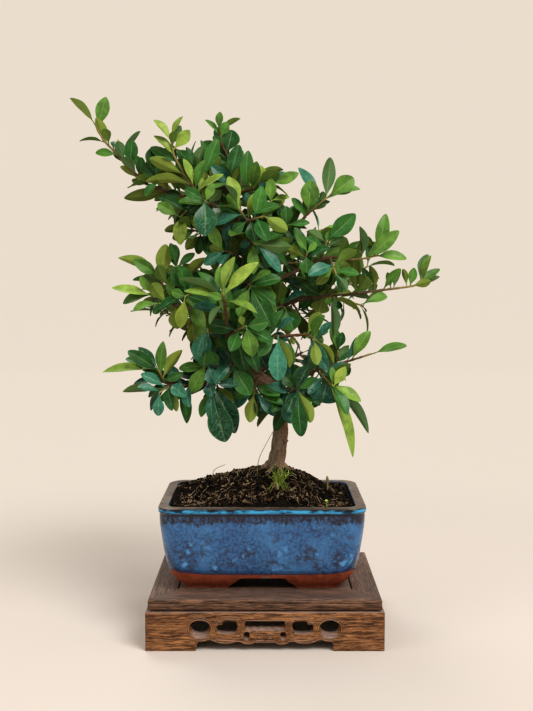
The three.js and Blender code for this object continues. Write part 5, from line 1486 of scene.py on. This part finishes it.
# Corners grey where the glaze thins, and this grey also stands in as a painted highlight.
corner = (wide / 86) ** 20 * (deep / 60) ** 20
thin_glaze_and_highlight = corner.step(0.3, 0.9) * (1 - lip) * 0.35
body = glaze.mix(thin_glaze_and_highlight, body, colour(92, 84, 84))
body = glaze.mix(pits * 0.75 * (1 - rim_top), body, colour(18, 18, 24))
ends = ((wide / 82) ** 5).math("MINIMUM", (deep / 55) ** 5)
bare_edge = z + (run - 0.5) * 3 - ends * 5.5
bare = 1 - bare_edge.step(58.4, 59.2)
fade = 1 - bare_edge.step(59.0, 63.0)
body = glaze.mix(fade * 0.75, body, colour(52, 46, 70))
clay = glaze.mix(mottle.step(0.4, 0.65), colour(142, 72, 46), colour(116, 54, 34))
clay = glaze.mix(fine.step(0.52, 0.7) * 0.4, clay, colour(70, 42, 32))
clay = glaze.mix(cloud.step(0.5, 0.7) * fine.step(0.4, 0.6) * 0.3, clay, colour(166, 128, 104))
body = glaze.mix(bare, body, clay)
drop = (1 - abs(x - 3).step(2.2, 4.2)) * (1 - z.step(55.8, 57.4)) * (1 - y.step(-46, -42))
body = glaze.mix(drop * 0.8, body, colour(122, 112, 108))
soft = 0.13 + mottle.step(0.45, 0.7) * 0.16 + fine * 0.06 + rim_top * 0.3
POT_FINISH = glaze.surface(
    Base_Color=body, Roughness=soft * (1 - bare) + bare * 0.8,
    Coat_Weight=(1 - bare) * (1 - rim_top) * (1 - lip) * 0.16,
    Normal=glaze.bump(mottle * 0.6 + cloud * 0.9 - rings * craters * 0.5 - pits * 0.6
                      + fine * 0.15 - bare * 0.6, 0.0009, 0.6))
place(pot, POT_FINISH, "pot_glaze", ["pot"], 38)

mesh_finish = Finish("screen_plastic")
moulded = mesh_finish.noise(mesh_finish.place(), 900, 3, 0.6)
SCREEN_FINISH = mesh_finish.surface(
    Base_Color=mesh_finish.mix(moulded, colour(38, 42, 40), colour(58, 62, 58)),
    Roughness=0.5 + moulded * 0.2, Normal=mesh_finish.bump(moulded, 0.0002, 0.4))
for name in ("drain_screen_left", "drain_screen_right"):
    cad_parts[name].data.materials.clear()
    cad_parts[name].data.materials.append(SCREEN_FINISH)
print("glaze", len(glaze.tree.nodes), "nodes")

# %% [markdown]
# ## Stand
# The stand is joined hardwood: a mitred frame round a loose panel, over four pierced aprons whose
# ends come down as feet. Frame members are one moulded profile pushed along and cut at the
# mitre. The aprons are sawn outlines with soft edges, and a carved bead follows every opening.

# %% Wood finish
def wood_finish(name, along, light, dark, glow, dust_and_sheen_share, dark_patch=False):
    """Dark open-grained hardwood that runs along one axis, with an optional painted shadow beneath
    the pot.
    """
    wood = Finish(name, Specular_IOR_Level=0.2, Coat_Weight=0.04, Coat_Roughness=0.3)
    at = wood.place()
    by_6, by_13, by_26 = (at.stretch(*(1 if k == along else times for k in range(3)))
                          for times in (6, 13, 26))
    flow = wood.noise(by_6, 16, 3, 0.5, 0.6)
    fibre = wood.noise(by_13, 62, 5, 0.68, 0.9)
    pores = wood.noise(by_26, 120, 3, 0.6, 0.3)
    shade = wood.mix(flow.step(0.35, 0.65) * 0.4 + fibre.step(0.5, 0.66) * 0.5, light, glow)
    shade = wood.mix((1 - fibre.step(0.38, 0.56)) * 0.95, shade, dark)
    shade = wood.mix(pores.step(0.50, 0.64) * 0.75, shade, dark)
    relief = wood.mark("relief", "Vector").part(0)
    # Carved beads: painted shade at their foot, and a painted highlight on their crest.
    shade = wood.mix((0 - relief).step(0.1, 1.0) * 0.7, shade, colour(38, 24, 15))
    shade = wood.mix(relief.step(0.2, 1.0) * 0.35, shade, glow)
    # Upward faces turn pale grey: partly dust, partly painted light on tops, ledges and hole lips.
    dust_and_sheen = wood.facing_up().step(0.3, 0.9)
    shade = wood.mix(dust_and_sheen * (0.45 + fibre * 0.55) * dust_and_sheen_share, shade, colour(158, 148, 146))
    if dark_patch:
        # Painted shadow: the wood beneath the pot is darkened almost to black.
        off_x, off_y = abs(from_pot(at, 0)), abs(from_pot(at, 1))
        under = (1 - off_x.step(60, 72)) * (1 - off_y.step(36, 44)) * 0.85
        shade = wood.mix(under, shade, colour(16, 10, 7))
    return wood.surface(
        Base_Color=shade, Roughness=0.4 + fibre * 0.2 + dust_and_sheen * 0.1,
        Normal=wood.bump(fibre * 0.8 - pores * 0.4, 0.0006, 0.7))


def both_ways(name, *looks):
    """The same wood with its grain along x, and along y."""
    return [wood_finish(name + way, k, *looks) for k, way in enumerate(("long", "short"))]


# The top's wood carries the painted shadow beneath the pot.
TOP_X, TOP_Y = both_ways(
    "top_wood_", colour(92, 66, 50), colour(34, 22, 16), colour(132, 99, 76), 0.16, True)
APRON_X, APRON_Y = both_ways(
    "apron_wood_", colour(116, 78, 50), colour(40, 24, 15), colour(178, 128, 84), 0.5)

# %% Frame and panel
STAND_HALF, STAND_TOP, MITRE_GAP = (99.125, 74.25), 43.75, 0.2
PROFILE = [(3, 33), (3, 34.3), (0.9, 34.35), (0.3, 34.7), (0, 35.4), (0, 38.6), (0.1, 39.4),
           (0.35, 39.75), (0.35, 39.95), (0.1, 40.3), (0, 41.0), (0, 42.2), (0.3, 43.1),
           (0.9, 43.6), (1.8, STAND_TOP)]


def member(side):
    """A frame member: its profile pushed along its side, with the ends cut along the mitre."""
    across_x = side in ("left", "right")
    depth, other = (23, 30) if across_x else (30, 23)
    half = STAND_HALF[1] if across_x else STAND_HALF[0]
    edge = STAND_HALF[0] if across_x else STAND_HALF[1]
    profile = PROFILE + [(depth - 0.9, STAND_TOP), (depth - 0.2, 43.5), (depth, 42.9),
                         (depth, 37.25), (depth + 4, 37.25), (depth + 4, 33)]
    rings = []
    for share in np.linspace(-1, 1, 25):
        ring = []
        for inset, height in profile:
            reach = half - inset * other / depth - MITRE_GAP
            a, b = share * reach, edge - inset
            ring.append([b, a, height] if across_x else [a, b, height])
        rings.append(ring)
    rings = np.array(rings)
    if side in ("left", "front"):
        rings[..., :2] *= -1
    form = Form()
    loft(form, rings)
    return form


for side, finish in (("front", TOP_X), ("back", TOP_X), ("left", TOP_Y), ("right", TOP_Y)):
    member(side).piece("frame_" + side, finish, "stand_wood", ["stand_frame_" + side], sharp=35)
panel = Form()
px, py = STAND_HALF[0] - 23.8, STAND_HALF[1] - 30.8
box_rings = []
for inset, height in [(0.4, 37.25), (0, 37.7), (0, 42.8), (0.25, 43.5), (0.9, STAND_TOP)]:
    box_rings.append([[sx * (px - inset) + (a * (px - inset) if sy * sx > 0 else 0),
                       sy * (py - inset), height] for sx, sy, a in
                      [(1, 1, 0), (-1, 1, 0), (-1, -1, 0), (1, -1, 0)]])
loft(panel, box_rings)
panel.piece("panel_board", TOP_X, "stand_wood", ["stand_panel"], sharp=30)
print("frame and panel made")

# %% Aprons
APRON_HALF, FOOT_LENGTH, BOARD_THICK, BOARD_SOFT = (101.125, 76.25), (42, 38), 9, 0.4


def mirrored(points):
    """Points on one side, then the same points on the other side in reverse order."""
    return points + [(-a, b) for a, b in points[::-1]]


LOWER_EDGE = [
    (0, 6.9), (2.2, 6.4), (4.4, 7.0), (6.6, 6.5), (8.8, 7.1), (9.6, 6.1), (11.6, 5.4), (14.6, 5.3),
    (17.6, 5.6), (19.4, 6.6), (20.8, 7.4), (24.8, 7.7), (27, 6.8), (30.5, 6.1), (34.2, 5.9),
    (38.4, 6.3), (42.2, 7.4), (45.2, 8.7), (47.3, 9.5), (49.6, 8.5), (53, 7.8), (56.6, 7.6),
    (58.8, 7.3), (59.1, 6.4), (58, 5.2), (57.5, 3.6), (57.8, 1.6), (58.5, 0.4), (59.4, 0)]


def apron_outline(half, foot):
    clear = half - foot
    return mirrored([(a * clear / 59.1, z) for a, z in LOWER_EDGE] + [(half, 0), (half, 33)])


def oval(x, z, rx, rz, count=40):
    return [(x + rx * math.cos(turn), z + rz * math.sin(turn)) for turn in full_turn(count)]


def closed_curve(points, steps=5):
    """A smooth loop through points."""
    points = np.array([[a, b, 0] for a, b in points], float)
    path = curve_through(np.vstack([points[-2:], points, points[:2]]), steps)
    return [(p[0], p[1]) for p in path[2 * steps:-2 * steps]]


def cloud_hole(x, scale):
    """An opening shaped like a cloud, tallest towards the middle of the board."""
    lobes = [(-9.1, -0.2), (-7.6, 4.3), (-4.4, 5.1), (2.6, 5.1), (4.1, 2.4), (7.6, 2.1),
             (9.1, -0.8), (6.4, -5.2), (-7, -5.2)]
    sign = 1 if x > 0 else -1
    return closed_curve([(x + sign * a * scale, 20.4 + b) for a, b in lobes])


def slot_hole(half):
    """The long middle opening: straight above, with small teeth along its lower edge."""
    count = 33
    lower = [(half * 0.97 * k / count, 18.8 + 0.9 * abs(math.sin(k / count * math.pi * 2.5)) ** 0.7)
             for k in range(1, count)]
    return mirrored(lower + [(half * 0.98, 19.5), (half, 20.6), (half, 24.0), (half * 0.97, 24.8)])


def outward(loop):
    """The direction away from a closed loop at each of its points."""
    loop = np.array(loop)
    run = np.roll(loop, -1, axis=0) - np.roll(loop, 1, axis=0)
    run /= np.maximum(np.linalg.norm(run, axis=1), 1e-9)[:, None]
    area = np.sum(loop[:, 0] * np.roll(loop[:, 1], -1) - np.roll(loop[:, 0], -1) * loop[:, 1])
    return np.stack([run[:, 1], -run[:, 0]], axis=1) * (1 if area > 0 else -1)


def board(outline, holes, thickness, soft):
    """A sawn board with soft edges, as an object: x, depth back from the face, and height."""
    curve = bpy.data.curves.new("draft", "CURVE")
    curve.dimensions, curve.fill_mode = "2D", "BOTH"
    curve.extrude, curve.bevel_depth, curve.bevel_resolution = thickness / 2 - soft, soft, 2
    curve.offset = -soft
    for loop in [outline, *holes]:
        spline = curve.splines.new("POLY")
        spline.points.add(len(loop) - 1)
        spline.use_cyclic_u = True
        for point, (a, b) in zip(spline.points, loop):
            point.co = (a, b, 0, 1)
    drawn = link(bpy.data.objects.new("draft", curve))
    mesh = baked(drawn)
    bpy.data.objects.remove(drawn)
    for vertex in mesh.vertices:
        a, b, c = vertex.co
        vertex.co = (a, thickness / 2 - c, b)
    return draft(mesh, 1e-4)


def scoop(loop, wide, drop):
    """A gouge's cut round a hole: the rim slopes out towards the face, most of all below."""
    loop, out = np.array(loop), outward(loop)
    rings = []
    for depth, share in ((6.5, 0), (4.6, 0.2), (2.8, 0.5), (1.4, 0.78), (0.5, 0.94), (0, 1.02),
                         (-0.6, 1.2)):
        grown = loop + out * wide * share
        grown[:, 1] -= np.clip(-out[:, 1], 0, 1) ** 0.8 * drop * share
        rings.append([[a, depth, b] for a, b in grown])
    return solid(rings, 1, 0)


def ridge(form, line, radius, closed=True, away=0.0, drop=0.0):
    """A half round moulding that follows a line on the board's face, with painted shade at its
    foot and a painted highlight on its crest.
    """
    line = np.array(line, float)
    if closed:
        out = outward(line)
        line = line + out * away
        line[:, 1] -= np.clip(-out[:, 1], 0, 1) * drop
        run = np.roll(line, -1, axis=0) - np.roll(line, 1, axis=0)
    else:
        run = np.gradient(line, axis=0)
    run /= np.maximum(np.linalg.norm(run, axis=1), 1e-9)[:, None]
    # The third number per arc point is painted light: -1 shade at the foot, 1 highlight on the
    # crest.
    arc = [(1.35, 0.05, -1), (1.0, 0.0, -0.9), (0.8, -0.45, 0.1), (0.42, -0.85, 0.9), (0, -1, 1),
           (-0.42, -0.85, 0.9), (-0.8, -0.45, 0.1), (-1.0, 0.0, -0.9), (-1.35, 0.05, -1),
           (-1.0, 0.6, -1), (1.0, 0.6, -1)]
    rings = np.array([[[a + v * radius * c, radius * d - 0.05, b - u * radius * c]
                       for c, d, _ in arc] for (a, b), (u, v) in zip(line, run)])
    count, sides = rings.shape[:2]
    faces = grid_faces(count, sides)
    if closed:
        last = (count - 1) * sides
        faces += [[last + c, last + (c + 1) % sides, (c + 1) % sides, c] for c in range(sides)]
    else:
        faces += [list(range(sides))[::-1], [(count - 1) * sides + c for c in range(sides)]]
    form.add(rings.reshape(-1, 3), faces,
             relief=[[mark, 0, 0] for _ in range(count) for _, _, mark in arc])


def scroll(x, z, size, sign, turns=1.5):
    """A spiral that winds in to a quarter of its size."""
    return [(x + sign * size * (1 - 0.75 * t) * math.cos(t * turns * 2 * math.pi),
             z + size * 0.85 * (1 - 0.75 * t) * math.sin(t * turns * 2 * math.pi))
            for t in np.linspace(0, 1, 30)]


def carve(form, half, outline, holes, clear):
    """Raised rims, the moulded lower edge, and the fret and scrolls under the middle opening."""
    for hole, (wide, drop) in holes[1:]:
        if wide > 0.8:
            ridge(form, hole, 0.52, away=wide + 0.7, drop=drop)
            ridge(form, hole, 0.36, away=wide + 2.4, drop=drop * 0.75)
        else:
            ridge(form, hole, 0.36, away=wide + 0.6, drop=drop)
    ridge(form, holes[0][0], 0.36, away=1.6, drop=0.5)
    lower = sorted((a, b + 1.0) for a, b in outline if b > 5 and abs(a) < clear * 0.985 and b < 10)
    ridge(form, lower, 0.4, closed=False)
    for sign in (-1, 1):
        fret = [(1.3, 9.0), (7.8, 9.0), (7.8, 14.6), (2.4, 14.6), (2.4, 11.0), (5.8, 11.0),
                (5.8, 12.8), (4.0, 12.8)]
        fret = [[sign * a * half / 101, b, 0] for a, b in fret]
        ridge(form, resample(fret, 0.4)[:, :2], 0.42, closed=False)
        for x, z, size, way, radius in ((0.225, 11.6, 2.4, sign, 0.42),
                                        (0.225, 26.6, 2.0, -sign, 0.4),
                                        (0.435, 12.4, 2.0, -sign, 0.4)):
            ridge(form, scroll(sign * half * x, z, size, way), radius, closed=False)


def apron(side):
    """A pierced board, mitred at its ends, carved, and turned to its side of the stand."""
    long_side = side in ("front", "back")
    half, edge = APRON_HALF if long_side else APRON_HALF[::-1]
    foot = FOOT_LENGTH[0 if long_side else 1]
    holes = [(slot_hole(16.4 if long_side else 13), (0.9, 0.8))]
    for s in (-1, 1):
        if long_side:
            holes += [(cloud_hole(s * 32.0, 1), (1.2, 3.6)),
                      (oval(s * 55.0, 19.6, 7.9, 5.5), (1.2, 1.9)),
                      (oval(s * 15.5, 13.8, 2.2, 2.2, 20), (0.5, 1.5))]
        else:
            holes += [(cloud_hole(s * 27, 0.85), (1.1, 3.4)),
                      (oval(s * 12.5, 14, 2.2, 2.2, 20), (0.5, 1.5))]
    outline = apron_outline(half, foot)
    plate = cut(board(outline, [hole for hole, _ in holes], BOARD_THICK, BOARD_SOFT),
                [scoop(hole, *size) for hole, size in holes])
    mesh = bmesh.new()
    mesh.from_mesh(plate.data)
    bpy.data.objects.remove(plate)
    for sign in (-1, 1):
        cut_edges = bmesh.ops.bisect_plane(
            mesh, geom=mesh.verts[:] + mesh.edges[:] + mesh.faces[:], dist=1e-5,
            plane_co=(sign * (half - MITRE_GAP), 0, 0), plane_no=Vector((sign, 1, 0)).normalized(),
            clear_outer=True)["geom_cut"]
        rim = [part for part in cut_edges if isinstance(part, bmesh.types.BMEdge)]
        bmesh.ops.holes_fill(mesh, edges=rim)
    mesh.verts.index_update()
    flat = Form()
    flat.add([v.co for v in mesh.verts], [[v.index for v in f.verts] for f in mesh.faces],
             relief=[0, 0, 0])
    mesh.free()
    carve(flat, half, outline, holes, half - foot)
    turn = math.radians({"front": 0, "right": 90, "back": 180, "left": 270}[side])
    c, s = round(math.cos(turn)), round(math.sin(turn))
    made, body = Form(), np.concatenate(flat.points)
    a, b = body[:, 0], body[:, 1] - edge
    made.add(np.stack([a * c - b * s, a * s + b * c, body[:, 2]], axis=1), flat.faces,
             relief=np.concatenate(flat.marks["relief"]))
    return made


for side in ("front", "back", "left", "right"):
    finish = APRON_X if side in ("front", "back") else APRON_Y
    apron(side).piece("apron_" + side, finish, "stand_wood", ["stand_apron_" + side], sharp=32)
print("aprons made")

# %% [markdown]
# ## Room and light
# The room is a wide bowl in one pale warm tone: a flat floor that curves up all round, so there
# is no horizon from any side. The far part glows evenly, as a lit studio backdrop does, and the
# floor under the object takes the shadows. A broad soft light comes from the front right and
# above, a weaker one fills from the left, and a third lights the crown from behind.

# %% Room
FLOOR, ROOM_SIDES = -0.0002, 96
room = bpy.data.meshes.new("room")
section = [(0.6, 0), (1.4, 0), (2.0, 0), (2.6, 0)]
section += [(2.6 + 0.9 * math.sin(a), 0.9 - 0.9 * math.cos(a))
            for a in np.linspace(0.1, math.pi / 2, 14)]
section += [(3.5, 2.2), (3.5, 3.6)]
points = [(r * math.cos(t), r * math.sin(t), h + FLOOR) for r, h in section
          for t in full_turn(ROOM_SIDES)]
points.append((0, 0, FLOOR))
faces = [face[::-1] for face in grid_faces(len(section), ROOM_SIDES)]
faces += [[len(points) - 1, k, (k + 1) % ROOM_SIDES] for k in range(ROOM_SIDES)]
room.from_pydata(points, [], faces)
room.shade_smooth()
bowl = link(bpy.data.objects.new("room", room))
paper = Finish("paper", Specular_IOR_Level=0.1, Emission_Strength=1.0)
at = paper.place()
far = at.stretch(1, 1, 0).length().step(0.17, 0.7)
fleck = paper.noise(at, 3.0, 2, 0.5)
near_tone = paper.mix(fleck, colour(198, 190, 183), colour(201, 193, 186))
room.materials.append(paper.surface(
    Base_Color=paper.mix(far, near_tone, (0.02, 0.02, 0.02, 1)), Roughness=0.9 + fleck * 0.05,
    Emission_Color=paper.mix(far, (0, 0, 0, 1), colour(216, 204, 190))))


def lamp(name, place, target, size, energy, shade):
    """A broad soft light at a place, turned to its target."""
    data = bpy.data.lights.new(name, "AREA")
    data.shape, data.size, data.size_y, data.energy, data.color = "RECTANGLE", *size, energy, shade
    light = link(bpy.data.objects.new(name, data))
    light.location = place
    light.rotation_euler = (Vector(target) - Vector(place)).to_track_quat("-Z", "Y").to_euler()


lamp("key", (0.85, -1.15, 1.6), (0, 0, 0.25), (1.0, 1.0), 38, (1.0, 0.985, 0.96))
lamp("fill", (-1.3, -0.9, 0.8), (0, 0, 0.2), (0.9, 0.9), 5, (1.0, 0.985, 0.97))
lamp("crown", (-0.5, 0.9, 1.6), (0, 0, 0.3), (0.7, 0.7), 9, (1.0, 0.985, 0.96))
world = bpy.data.worlds.new("sky")
world.use_nodes = True
world.node_tree.nodes["Background"].inputs["Color"].default_value = (1.0, 0.97, 0.93, 1)
world.node_tree.nodes["Background"].inputs["Strength"].default_value = 0.3
bpy.context.scene.world = world
bpy.context.scene.view_settings.view_transform = "Standard"
bpy.context.scene.view_settings.look = "Medium High Contrast"
print("room and light set")
